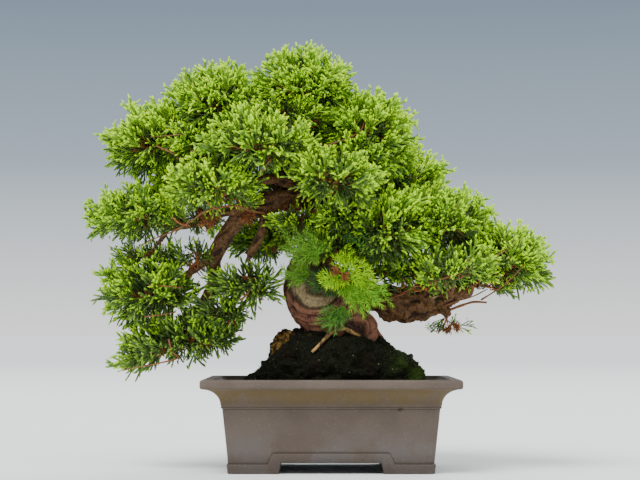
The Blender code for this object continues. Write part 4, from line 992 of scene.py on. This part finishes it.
ROOT_IN = 0.92  # how far a tuft's root lies inside its mass's surface, as a share of a spray's length
FIT_SHARE = 0.6  # share of a spray's sample points that must be in its own space
STEP_IN, TRIES = 0.05, 10
FORK_SHARE = 0.45
TWIG_RADIUS = 0.34
TWIG_POWER = 0.42  # a twig is thicker by this power of the number of tips it carries
TWIG_SIDES, TWIG_RINGS = 4, 4
CORD_RADIUS = 0.58
CORD_ANGLES, NUB_ANGLES = (26, 40), (28, 44)  # degrees that cords, and the nubs on them, leave at
CORD_LENGTHS = (0.52, 0.64)  # in a dense and in a loose spray, as shares of the spray's
GROWTH_START = (0.72, 0.84)  # how far along its cord the bright growth starts
TEMPLATES = 12  # the second half of them are the loose ones


def turned(tilt):
    """The matrix of a space's tilt about Y."""
    c, s = math.cos(math.radians(tilt)), math.sin(math.radians(tilt))
    return np.array([(c, 0, -s), (0, 1, 0), (s, 0, c)])


def reach(name, points):
    """How far points lie through a mass's space: 0 in its middle, 1 on its surface."""
    _, middle, half, tilt = MASSES[name]
    return np.linalg.norm((points - np.array(middle)) @ turned(tilt) / np.array(half), axis=-1)


def own_space(name, points, gap):
    """True where points are in this mass's space and nearer to it than to any other, by a gap."""
    own = reach(name, points)
    others = np.min([reach(n, points) for n in MASSES if n != name], axis=0)
    return (own <= 1.02) & (others - own >= gap)


limb_points = np.vstack([smooth_path(keys, 1.5) for keys in (TRUNK, *BOUGHS.values())])


def limb_distance(points):
    """The distance from points to the nearest limb's surface."""
    flat = points.reshape(-1, 3)
    away = np.linalg.norm(flat[:, None] - limb_points[None, :, :3], axis=2) - limb_points[None, :, 3]
    return away.min(axis=1).reshape(points.shape[:-1])


def even_directions(count, rng):
    """Directions spread evenly over a sphere along a spiral, each nudged a little."""
    i = np.arange(count) + 0.5
    up = 1 - 2 * i / count
    turn = i * math.pi * (3 - math.sqrt(5))
    flat = np.sqrt(1 - up**2)
    found = np.stack([flat * np.cos(turn), flat * np.sin(turn), up], axis=1) + rng.normal(0, 0.10, (count, 3))
    return found / np.linalg.norm(found, axis=1, keepdims=True)


def unit(vectors):
    """Vectors brought to length 1."""
    return vectors / np.linalg.norm(vectors, axis=-1, keepdims=True)


def cords(base, way, bend, length, radius, share, sides):
    """Closed cords of scale leaves, each with three rings and a point.

    A cord's middle line is its base, plus its way times the distance, plus its bend times the distance
    squared. The share is how far along the bright growth starts.
    """
    at = np.stack([0 * share, share, np.minimum(share + 0.24, 0.93), 1 + 0 * share], axis=1)
    line = base[:, None] + way[:, None] * (at * length[:, None])[..., None]
    line = line + bend[:, None] * (at**2 * length[:, None])[..., None]
    one = unit(np.cross(way, (0.31, 0.17, 0.93)))
    two = np.cross(way, one)
    angles = np.arange(sides) * 2 * math.pi / sides
    ring = one[:, None] * np.cos(angles)[:, None] + two[:, None] * np.sin(angles)[:, None]
    swell = radius[:, None] * np.array([0.72, 1.0, 0.86])
    rings = line[:, :3, None] + ring[:, None] * swell[:, :, None, None]
    points = np.concatenate([rings.reshape(len(base), 3 * sides, 3), line[:, 3:]], axis=1)
    turn = np.arange(sides)
    after = np.roll(turn, -1)
    lower = np.stack([turn, after, after + sides, turn + sides], axis=1)
    tip = np.stack([turn + 2 * sides, after + 2 * sides, np.full(sides, 3 * sides)], axis=1)
    return points, np.vstack([lower, lower + sides]), tip


def spray_template(rng, loose):
    """A flat feathery spray along X: a stalk and its leader, with cords that leave them on both sides.

    The cords leave at CORD_ANGLES, and are shorter the nearer they start to the spray's tip. About every
    other one carries a short nub. Loose sprays have fewer and longer cords, and they stand further apart.
    """
    rows = []  # base, angle in the spray's plane, lift out of it, length, start of the bright growth, sort

    def line(angle, lift):
        """The direction at an angle in the spray's plane, lifted out of it."""
        return np.array([math.cos(angle) * math.cos(lift), math.sin(angle) * math.cos(lift), math.sin(lift)])

    lean, turn = rng.uniform(-0.1, 0.1), rng.uniform(-0.22, 0.22)
    stalk = rng.uniform(0.46, 0.56)
    knee = line(lean, 0) * stalk
    rows.append((np.zeros(3), lean, 0.0, stalk + 0.03, 0.6, 0))
    rows.append((knee, lean + turn, rng.uniform(-0.15, 0.15), rng.uniform(0.42, 0.5), 0.74, 1))
    hand = rng.choice((-1, 1))
    count = rng.integers(4, 6) if loose else rng.integers(5, 8)
    for i in range(count):
        at = 0.16 + 0.66 * (i + rng.uniform(-0.2, 0.2)) / count
        start = line(lean, 0) * at if at < stalk else knee + line(lean + turn, 0) * (at - stalk)
        angle = lean + (turn if at > stalk else 0) + hand * math.radians(rng.uniform(*CORD_ANGLES))
        long = CORD_LENGTHS[loose] * (1.1 - 0.5 * at) * rng.uniform(0.8, 1.15)
        rows.append((start, angle, rng.uniform(-0.38, 0.38), long, rng.uniform(*GROWTH_START), 1))
        hand = -hand
    for start, angle, lift, long, _, _ in rows[1:]:
        if rng.random() < 0.5:
            away = rng.choice((-1, 1)) * math.radians(rng.uniform(*NUB_ANGLES))
            rows.append((start + line(angle, lift) * long * rng.uniform(0.5, 0.78), angle + away,
                         lift + rng.uniform(-0.4, 0.4), rng.uniform(0.12, 0.2), 0.35, 2))
    base = np.array([r[0] for r in rows])
    way = np.array([line(r[1], r[2]) for r in rows])
    length, share, sort = (np.array([r[i] for r in rows]) for i in (3, 4, 5))
    toward = unit(np.array([1.0, 0, 0]) - way * way[:, :1] + 1e-6)
    bend = toward * rng.uniform(-0.05, 0.3, (len(base), 1)) + rng.normal(0, 0.06, (len(base), 3))
    bend[sort != 1] *= 0.3
    radius = CORD_RADIUS / SPRAY_LENGTH * np.array([0.8, 1.0, 0.92])[sort]
    radius = radius * rng.uniform(0.86, 1.08, len(base))
    radius = radius * (0.88 if loose else 1.0)
    points, quads, tips, roles_quads, roles_tips, done = [], [], [], [], [], 0
    for sides, use, roles in ((4, sort < 2, (0, 1)), (3, sort == 2, (1, 1))):
        made, four, three = cords(base[use], way[use], bend[use], length[use], radius[use], share[use], sides)
        step = done + made.shape[1] * np.arange(len(made))[:, None, None]
        points.append(made.reshape(-1, 3))
        quads.append((four + step).reshape(-1, 4))
        tips.append((three + step).reshape(-1, 3))
        role = np.repeat(np.tile(roles, (len(made), 1)), sides, axis=1)
        if sides == 4:
            role[0] = [2] * 4 + [0] * 4
        roles_quads.append(role.ravel())
        roles_tips.append(np.ones(len(made) * sides, int))
        done += made.shape[0] * made.shape[1]
    ends = (base + way * length[:, None] + bend * length[:, None])[sort == 1]
    return {
        "points": np.vstack(points),
        "quads": np.vstack(quads),
        "tips": np.vstack(tips),
        "roles": np.concatenate(roles_quads + roles_tips),
        "ends": np.vstack([ends[:5], base[1:2]]),
    }


def tubes(start, out_way, end, in_way, thick, thin):
    """Closed tubes along Bezier curves, whose handles are a third of the span along the given ways."""
    span = np.linalg.norm(end - start, axis=1)[:, None]
    t = np.linspace(0, 1, TWIG_RINGS)[None, :, None]
    knots = [start, start + out_way * span / 3, end - in_way * span / 3, end]
    weights = ((1 - t) ** 3, 3 * t * (1 - t) ** 2, 3 * t**2 * (1 - t), t**3)
    line = sum(w * k[:, None] for w, k in zip(weights, knots))
    lead = unit(np.gradient(line, axis=1))
    one = unit(np.cross(lead, (0.37, 0.55, 0.75)))
    two = np.cross(lead, one)
    angles = np.arange(TWIG_SIDES) * 2 * math.pi / TWIG_SIDES
    ring = one[:, :, None] * np.cos(angles)[:, None] + two[:, :, None] * np.sin(angles)[:, None]
    radius = thick[:, None] + (thin - thick)[:, None] * t[0, :, 0]
    rings = line[:, :, None] + ring * radius[..., None, None]
    count = TWIG_RINGS * TWIG_SIDES
    points = np.concatenate([rings.reshape(len(start), count, 3), line[:, [0, -1]]], axis=1)
    caps = end_caps(TWIG_SIDES, count)
    offset = (count + 2) * np.arange(len(start))[:, None, None]
    quads = grid_faces(TWIG_RINGS, TWIG_SIDES, closed=True)
    return points.reshape(-1, 3), (quads + offset).reshape(-1, 4), (caps + offset).reshape(-1, 3)


def fork(start, way, tips, out, rng):
    """Joins tips to a start by twigs: part-way to their middle, then a half of the tips on each side.

    The halves are split across the widest spread, and a twig is thicker the more tips it carries. Each twig
    is kept as its start, its way there, its end, its way there and its two radii.
    """
    thick = TWIG_RADIUS * len(tips) ** TWIG_POWER
    if len(tips) == 1:
        arrive = unit(tips[0] - start + rng.normal(0, 0.5, 3))
        out.append((start, way, tips[0], arrive, thick, TWIG_RADIUS * 0.8))
        return
    middle = tips.mean(axis=0)
    knot = start + (middle - start) * FORK_SHARE + rng.normal(0, 0.05, 3) * np.linalg.norm(middle - start)
    arrive = unit(0.6 * unit(knot - start) + 0.4 * way + rng.normal(0, 0.15, 3))
    out.append((start, way, knot, arrive, thick, thick * 0.9))
    spread = tips - middle
    order = np.argsort(spread @ np.linalg.svd(spread, full_matrices=False)[2][0])
    half = len(tips) // 2
    for part in (tips[order[:half]], tips[order[half:]]):
        fork(knot, unit(arrive + 0.8 * unit(part.mean(axis=0) - knot)), part, out, rng)


templates = [spray_template(np.random.default_rng([200, i]), i >= TEMPLATES // 2) for i in range(TEMPLATES)]
OPEN_MASSES = {  # share of a full mass's tufts
    "right_sprig": 0.5, "drop_right": 0.8, "loose_left": 0.75, "loose_gap": 0.8, "loose_drop": 0.8,
    "loose_edge": 0.9, "loose_fall": 0.55, "loose_hollow": 0.8, "loose_ledge": 0.8,
}


def tuft_plan(name, count, depth, rng):
    """Roots and ways of a mass's sprays, gathered in tufts that start a spray's length inside its surface.

    A tuft moves inward by steps until most of its sample points are in the mass's own space and off
    the limbs. Sprays that still leave the space are dropped.
    """
    _, middle, half, tilt = MASSES[name]
    middle, half, matrix = np.array(middle, float), np.array(half, float), turned(tilt)
    ways = even_directions(count, rng)
    ways = ways[(ways[:, 2] > -0.8) | (rng.random(count) < 0.35)]
    radial = unit((half * ways) @ matrix.T)
    normal = unit((ways / half) @ matrix.T)
    lifted = UP_BIAS * eased(ways[:, 2], -0.6, 0.25) - 0.12
    outer = unit((middle + (half * ways) @ matrix.T) * (1, 1, 0))
    aim = unit(0.4 * radial + 0.4 * normal + OUT_BIAS * outer + lifted[:, None] * np.array([0, 0, 1.0]))
    small = min(1.0, half.min() / 14)
    around = unit(np.cross(aim[:, None], rng.normal(0, 1, (len(ways), TUFT_SPRAYS, 3))))
    lean = SPREAD * rng.uniform(0.15, 1.2, (len(ways), TUFT_SPRAYS, 1))
    axis = unit(aim[:, None] + around * lean)
    size = SPRAY_LENGTH * small * rng.uniform(0.8, 1.2, (len(ways), TUFT_SPRAYS))
    side = unit(np.cross(axis, rng.normal(0, 1, axis.shape)))
    under = (ways[:, 2] < -0.25) | (name in OPEN_MASSES)
    which = rng.integers(0, TEMPLATES // 2, size.shape) + np.where(under, TEMPLATES // 2, 0)[:, None]
    ends = np.array([t["ends"] for t in templates])[which]
    frame = np.stack([axis, side, np.cross(axis, side)], axis=-2)
    probes = np.einsum("tspc,tscd->tspd", ends, frame) * size[..., None, None]
    surface = (half * ways) @ matrix.T
    chosen = np.full(len(ways), -1.0)
    fits_at = np.zeros(size.shape, bool)
    share_now = depth * (0.93 + 0.09 * lumps(middle + surface, 13.0, 310))
    share_now = share_now * rng.uniform(0.93, 1.04, len(ways))
    for _ in range(TRIES):
        open_ones = chosen < 0
        if not open_ones.any():
            break
        root = middle + surface * share_now[:, None] - aim * SPRAY_LENGTH * small * ROOT_IN
        points = root[:, None, None] + probes
        fits = own_space(name, points, INTERLOCK) & (limb_distance(points) > SPRAY_LIMB_GAP)
        good = open_ones & (fits.mean(axis=(1, 2)) > FIT_SHARE)
        chosen[good] = share_now[good]
        fits_at[good] = fits.mean(axis=2)[good] > FIT_SHARE
        share_now = np.where(chosen < 0, share_now - STEP_IN, share_now)
    root = middle + surface * chosen[:, None] - aim * SPRAY_LENGTH * small * ROOT_IN
    found = chosen > 0
    return root[found], ways[found, 2], axis[found], side[found], size[found], which[found], fits_at[found]


def surface_area(half):
    """An ellipsoid's surface, by the mean of its half sizes' products to the power 1.6075."""
    a, b, c = np.array(half) ** 1.6075
    return 4 * math.pi * ((a * b + a * c + b * c) / 3) ** (1 / 1.6075)


# Plain colours, dealt out by spray. Scale leaves are waxy: a soft sheen on a satin skin. Fresh tips are
# yellow-green, a spray's body is mid green, and sprays that get little light are dark blue-green.
def leaf(name, colour):
    """A plain leaf colour with a soft, waxy sheen."""
    return finish_of(name, colour, 0.6, IOR=1.33)[0]


# The tones are painted light: lit and shaded copies of one foliage, from sunlit down to the inner sprays in
# shade.
TONES = (  # body and growing tip
    ("sunlit", "#86AE2C", "#CCFA00"),
    ("half_lit", "#749A2A", "#B8EA00"),
    ("mid", "#62862E", "#A0D010"),
    ("deep", "#547034", "#7CA030"),
    ("inner", "#445A28", "#587230"),
)
TONE_STEPS = (1.05, 0.6, 0.12)  # least chance, by light and luck, of the first three tones
UP_GAIN = 0.75  # what a spray that faces up gains in that chance, next to one that faces sideways
HEIGHT_GAIN, GAIN_HEIGHT = 0.0035, 120  # what each millimetre over a height adds
SHADE_LOSS = 0.6  # what the foliage of the low left bough loses, in the shade of the crown over it
SHADE_ALONG, SHADE_DOWN, SHADE_END = (-104, -74), (122, 108), -20  # where shade deepens, and its right end
leaf_finishes = [leaf(f"scale_leaf_{name}_{part}", colour) for name, *pair in TONES
                 for part, colour in zip(("body", "tip"), pair)]
leaf_finishes.append(leaf("young_wood", "#965A34"))
WOOD_SLOT = len(leaf_finishes) - 1
CROWN_PIECES = {
    "sprays_top": ("apex", "top_left", "loose_brow"),
    "sprays_shoulders": ("top_right", "left_upper", "loose_gap", "loose_brow_left", "loose_brow_right"),
    "sprays_front": ("front_upper", "front_left", "front_right", "loose_middle", "right_inner",
                     "loose_heart", "loose_neck"),
    "sprays_left": ("left_mid", "drop_upper", "drop_low", "drop_right", "loose_left", "loose_drop"),
    "sprays_loose": ("loose_shoulder", "loose_edge", "loose_fall", "loose_collar", "loose_hollow",
                     "loose_ledge"),
    "sprays_right": ("right_upper", "right_tip", "right_under", "right_sprig", "loose_right",
                     "loose_tip"),
    "sprays_back_upper": ("back_upper", "back_left"),
    "sprays_back_low": ("back_right", "back_low", "back_inner"),
}
twig_rows = []
for piece_name, names in CROWN_PIECES.items():
    all_points, all_quads, all_tips, quad_slots, tip_slots, done = [], [], [], [], [], 0
    for name in names:
        rng = np.random.default_rng([300, list(MASSES).index(name)])
        count = round(surface_area(MASSES[name][2]) / TUFT_AREA * OPEN_MASSES.get(name, 1.0))
        roots = []
        for inner in (False, True):
            wanted, depth = (round(count * INNER_SHARE), INNER_DEPTH) if inner else (count, 1.0)
            root, facing, axis, side, size, which, fits = tuft_plan(name, wanted, depth, rng)
            roots.append(root)
            origin = np.repeat(root[:, None], axis.shape[1], axis=1)
            chance = rng.random(fits.shape) + UP_GAIN * facing[:, None]
            chance = chance + HEIGHT_GAIN * (origin[..., 2] - GAIN_HEIGHT)
            under_crown = eased(origin[..., 0], *SHADE_ALONG) * eased(origin[..., 2], *SHADE_DOWN)
            chance -= SHADE_LOSS * under_crown * (origin[..., 0] < SHADE_END)
            tone = np.where(inner, 4, np.select([chance > least for least in TONE_STEPS], [0, 1, 2], 3))
            for kind in range(TEMPLATES):
                use = fits & (which == kind)
                if not use.any():
                    continue
                template = templates[kind]
                frames = np.stack([axis[use], side[use], np.cross(axis[use], side[use])], axis=-2)
                points = np.einsum("pc,scd->spd", template["points"], frames) * size[use][:, None, None]
                points += origin[use][:, None]
                step = done + len(template["points"]) * np.arange(len(points))[:, None, None]
                all_points.append(points.reshape(-1, 3))
                all_quads.append((template["quads"] + step).reshape(-1, 4))
                all_tips.append((template["tips"] + step).reshape(-1, 3))
                roles, quad_count = template["roles"], len(template["quads"])
                slots = np.where(roles == 2, WOOD_SLOT, 2 * tone[use][:, None] + roles)
                quad_slots.append(slots[:, :quad_count].ravel())
                tip_slots.append(slots[:, quad_count:].ravel())
                done += points.shape[0] * points.shape[1]
        keys = TRUNK if MASSES[name][0] == "trunk" else BOUGHS[MASSES[name][0]]
        end, before = np.array(keys[-1][:3], float), np.array(keys[-2][:3], float)
        fork(end - unit(end - before) * 0.8, unit(end - before), np.vstack(roots), twig_rows, rng)
    spray_faces = [np.vstack(all_quads), np.vstack(all_tips)]
    sprays = piece(piece_name, np.vstack(all_points), spray_faces, leaf_finishes,
                   np.concatenate(quad_slots + tip_slots), smooth_below=180)
    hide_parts(*("foliage_" + name for name in names if not name.startswith("loose")))
    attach(sprays, "root")

# The twigs: short-jointed and orange-brown while they are thin, grey-brown once they thicken. Some bare ones
# run along the front of the foliage, where older leaves have dropped.
BARE_RUNS = (  # points along each, and its radius where it starts
    (((-34, -18, 133.5), (-42, -29, 134), (-50, -36, 136), (-63, -44, 133), (-71, -36, 128.5),
      (-81, -27, 123.5), (-93, -19, 119.5), (-103, -14, 114.5)), 0.57),
    (((-65, -50, 140.5), (-61, -50, 135.5), (-56, -44, 132.5)), 0.36),
    (((-82, -27, 131), (-77, -31, 127), (-72, -33, 126)), 0.36),
    (((-94, -23, 96), (-85, -26, 95.2), (-76, -21, 94.4)), 0.48),
    (((-96, -21, 79.5), (-88, -24, 80.5), (-80, -21, 82)), 0.42),
    (((-84, -19, 68), (-82, -21, 61.5), (-79, -19, 58.4), (-88.7, -19, 55.7), (-97, -16, 54.1),
      (-106, -10, 52.4), (-112, -4, 51)), 0.51),
    (((-47, -27, 88), (-43, -29, 91.2), (-40.5, -27, 94.8)), 0.39),
    (((-93, -25, 172.4), (-82.5, -31, 172.5), (-73.6, -29, 173.5)), 0.45),
    (((-90, -29, 167.4), (-82, -33, 163.6), (-78, -32, 160.5), (-72, -31, 157.3)), 0.45),
    (((-72, -33, 164.1), (-63, -34, 163.9), (-54, -32, 165.3)), 0.42),
    (((-7, -31, 165.9), (2, -33, 168.5), (9.6, -32, 171.3), (15.3, -31, 175.3), (17, -25, 180)), 0.57),
    (((-36, -52, 150), (-33, -56, 154.7), (-29.5, -54, 158.5)), 0.48),
    (((-17.5, -25, 142), (-12.7, -28, 144.5), (-9.5, -29, 150)), 0.42),
    (((52, -34, 97), (63, -40, 101), (74, -38, 105), (84, -31, 110.5), (92, -26, 115.2),
      (96, -19, 120)), 0.51),
    (((78, -16, 88.4), (85.7, -21, 93.5), (93, -26, 99.5), (99.5, -26, 106.8)), 0.45),
    (((21, -6, 86), (29.8, -9, 89), (38, -10, 91.6), (47, -8, 93.2)), 0.54),
    (((55, -2, 83.3), (64.8, -7, 87.5), (73.7, -9, 90.1), (82, -10, 94.2)), 0.48),
    (((50, 3, 83), (58, -1, 82), (68, -2, 85.4), (75, -3, 87.5), (82, -4, 87.2)), 1.12),
)
RUN_SIDES, RUN_STEP = 6, 1.6
RUN_END = 0.55  # radius at a run's end, as a share of its start's
YOUNG_UNDER = 0.4  # runs thinner than this have young bark
TWIG_AGES = (0.62, 1.1)  # radii from which a twig's bark is grown, and old
run_points, run_quads, run_caps, done = [], [], [], 0
for keys, thick in BARE_RUNS:
    taper = np.linspace(thick, RUN_END * thick, len(keys))
    path = smooth_path(np.column_stack([keys, taper]), RUN_STEP)
    knobs = 0.22 * thick * lumps(path[:, None, :3] + 9 * thick, 2.1, 320)
    points, (quads, caps) = limb_surface(path, RUN_SIDES, knobs)
    run_points.append(points)
    run_quads.append(quads + done)
    run_caps.append(caps + done)
    done += len(points)
starts, ways, ends, arrivals = (np.array([row[i] for row in twig_rows]) for i in range(4))
thick, thin = (np.array([row[i] for row in twig_rows]) for i in (4, 5))
twig_points, twig_quads, twig_caps = tubes(starts, ways, ends, arrivals, thick, thin)
twig_slots = np.digitize(thick, TWIG_AGES)
per_quad, per_cap = len(twig_quads) // len(thick), len(twig_caps) // len(thick)
twig_finishes = [finish_of("young_twig_bark", "#A65A2E", 0.7)[0], finish_of("twig_bark", "#80502F", 0.8)[0],
                 finish_of("old_twig_bark", "#5E452F", 0.85)[0]]
run_faces = [faces + len(twig_points) for faces in (np.vstack(run_quads), np.vstack(run_caps))]
run_kinds = [np.concatenate([np.full(len(q), int(t > YOUNG_UNDER)) for q, (_, t) in zip(part, BARE_RUNS)])
             for part in (run_quads, run_caps)]
all_faces = [twig_quads, run_faces[0], twig_caps, run_faces[1]]
all_slots = [np.repeat(twig_slots, per_quad), run_kinds[0], np.repeat(twig_slots, per_cap), run_kinds[1]]
twigs = piece("twigs", np.vstack([twig_points, *run_points]), all_faces, twig_finishes,
              np.concatenate(all_slots), smooth_below=180)
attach(twigs, "root")

# The young shoots: feathery juvenile growth low on the front, where short needles stand off their stems in
# threes. Dead ones, dry and orange, hang on under the boughs.
YOUNG_TUFTS = (  # middle, tone, where its shoots end: how far to the right of the middle and above it
    ((6, -30, 101), "bright", ((-11, -2), (-3, 10), (3, 11), (6, 8), (12, 5), (15, 0), (14, -3), (9, -4),
                               (-5, -6), (-9, -5), (1, -4))),
    ((7, -28, 96), "half_lit", ((23, -5), (20, -1), (19, -8), (15, -11), (11, -13), (5, -12), (8, -7), (13, -3),
                             (-1, -4), (3, -7), (16, -5))),
    ((-6, -27, 112), "middling", ((-18, 9), (-8, 11), (-16, 2), (-15, -2), (-11, 1), (-3, -4), (4, 3),
                                  (-5, 8), (-13, 5), (1, 6))),
    ((-11, -23, 101), "middling", ((-14, 1), (-11, -2), (-9, 4), (-6, 3), (-7, -3), (-3, 5))),
    ((0, -24, 99), "shaded", ((-12, -3), (-7, -4), (-1, -8), (4, -7), (-9, 2), (-4, 4))),
    ((7, -24, 85), "emerald", ((-11, -11), (-11, -8), (-8, -12), (-4, -10), (1, -6), (-9, -4), (-5, -6))),
    ((14, -26, 116), "shaded", ((8, 6), (11, 1), (2, 9), (-5, 6), (7, -5), (13, 4))),
)
DRY_TUFTS = (
    ((-26, -13, 133), "dry", ((14, -3), (12, 1), (8, -5), (5, 3))),
    ((-38, -15, 134), "dry", ((-11, -1), (-9, 3), (-7, -4))),
    ((-56, -22, 131), "dry", ((-12, 0), (-9, -4), (-7, 3))),
    ((63, -8, 76), "dry", ((-2, -3), (3, -2))),
    ((5, -33, 102), "dry", ((-3, 1), (2, -2))),
    ((84, -14, 101), "dry", ((9, 3), (6, 5), (8, -2))),
)
# Needle tones run from bright, in painted light, to shaded, in painted shade; dry is the dead needles' own
# colour.
NEEDLE_TONES = {
    "bright": ("#CCFA10", "#9CD414"),
    "half_lit": ("#A4D82E", "#6EAE2C"),
    "middling": ("#8CBA3C", "#6C9C34"),
    "emerald": ("#6C9C40", "#4C7A30"),
    "shaded": ("#35562E", "#4C7434"),
    "dry": ("#A8683A", "#7A4E2C"),
}
NEEDLE_LENGTH, NEEDLE_WIDTH, WHORL_SPACING = 3.9, 0.8, 1.7
STEM_RADIUS = 0.36
WHORL_TURN = 0.52  # radians from one whorl to the next
SIDE_LONG, SIDE_SPLAY = 0.36, 0.26  # a side stem's reach along and across its main one
SECOND_SHARE = 0.45  # share of needles in a tone's second colour
SIDE_SHOOTS = ((0.28, 1), (0.46, -1), (0.64, 1), (0.8, -1))  # where side stems leave a main one, and its side


def shoots(tufts, seed):
    """Stems and needles of feathery shoots.

    A main stem runs from its tuft's middle to each end, and side stems leave it to either side. Whorls of
    three needles follow every stem, each whorl turned from the last by WHORL_TURN. Needles are longest
    part-way along and lean further forward towards the stem's tip.
    """
    rng = np.random.default_rng(seed)
    stems, roots, ways, lengths, slots = [], [], [], [], []
    for middle, tone, ends in tufts:
        middle = np.array(middle, float)
        for right, up in ends:
            away = np.array([right, rng.uniform(-0.5, 0.2) * math.hypot(right, up), up])
            across = np.cross(away, (0, 1, 0))
            stems.append((middle, middle + away, tone))
            for at, hand in SIDE_SHOOTS:
                aim = SIDE_LONG * away + SIDE_SPLAY * hand * across
                aim = aim + rng.normal(0, 0.07, 3) * math.hypot(right, up)
                stems.append((middle + at * away, middle + at * away + aim * (1.15 - 0.5 * at), tone))
    rows = []
    for start, end, tone in stems:
        aim, size = unit(end - start), np.linalg.norm(end - start)
        rows.append((start, aim, end, aim, STEM_RADIUS, STEM_RADIUS * 0.5))
        whorls = max(3, int(size / WHORL_SPACING))
        at = np.repeat((np.arange(whorls) + 0.7) / whorls, 3)
        one = unit(np.cross(aim, (0.3, 0.2, 0.93)))
        turn = np.tile([0, 2.094, 4.189], whorls) + np.repeat(np.arange(whorls), 3) * WHORL_TURN
        out = one * np.cos(turn)[:, None] + np.cross(aim, one) * np.sin(turn)[:, None]
        open_by = (1.1 - 0.7 * at)[:, None] * rng.uniform(0.75, 1.25, (len(at), 1))
        roots.append(start + (end - start) * at[:, None])
        ways.append(unit(aim + out * open_by))
        lengths.append(NEEDLE_LENGTH * (0.7 + 0.4 * np.sin(math.pi * at)) * rng.uniform(0.8, 1.2, len(at)))
        slots.append(2 * list(NEEDLE_TONES).index(tone) + (rng.random(len(at)) < SECOND_SHARE))
    return rows, np.vstack(roots), np.vstack(ways), np.concatenate(lengths), np.concatenate(slots)


needle_finishes = [leaf(f"needle_{tone}_{i}", colour) for tone, pair in NEEDLE_TONES.items()
                   for i, colour in enumerate(pair)]
for piece_name, tufts, seed, slot_name in (("young_needles", YOUNG_TUFTS, 401, "young_needles"),
                                           ("dry_needles", DRY_TUFTS, 402, "juniper_bark")):
    rows, roots, ways, lengths, slots = shoots(tufts, seed)
    needle_points, needle_faces = spikes(roots, ways, lengths, np.full(len(roots), NEEDLE_WIDTH), 0.35)
    stem = [np.array([row[i] for row in rows]) for i in range(6)]
    stem_points, stem_quads, stem_caps = tubes(*stem)
    stem_slot = len(needle_finishes) if piece_name == "dry_needles" else 3
    needles = piece(
        piece_name, np.vstack([stem_points, needle_points]),
        [stem_quads, stem_caps, needle_faces + len(stem_points)], needle_finishes + [twig_finishes[0]],
        np.concatenate([np.full(len(stem_quads) + len(stem_caps), stem_slot), np.repeat(slots, 4)]),
        smooth_below=180,
    )
    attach(needles, "root")
    if piece_name == "young_needles":
        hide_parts("foliage_front_young")
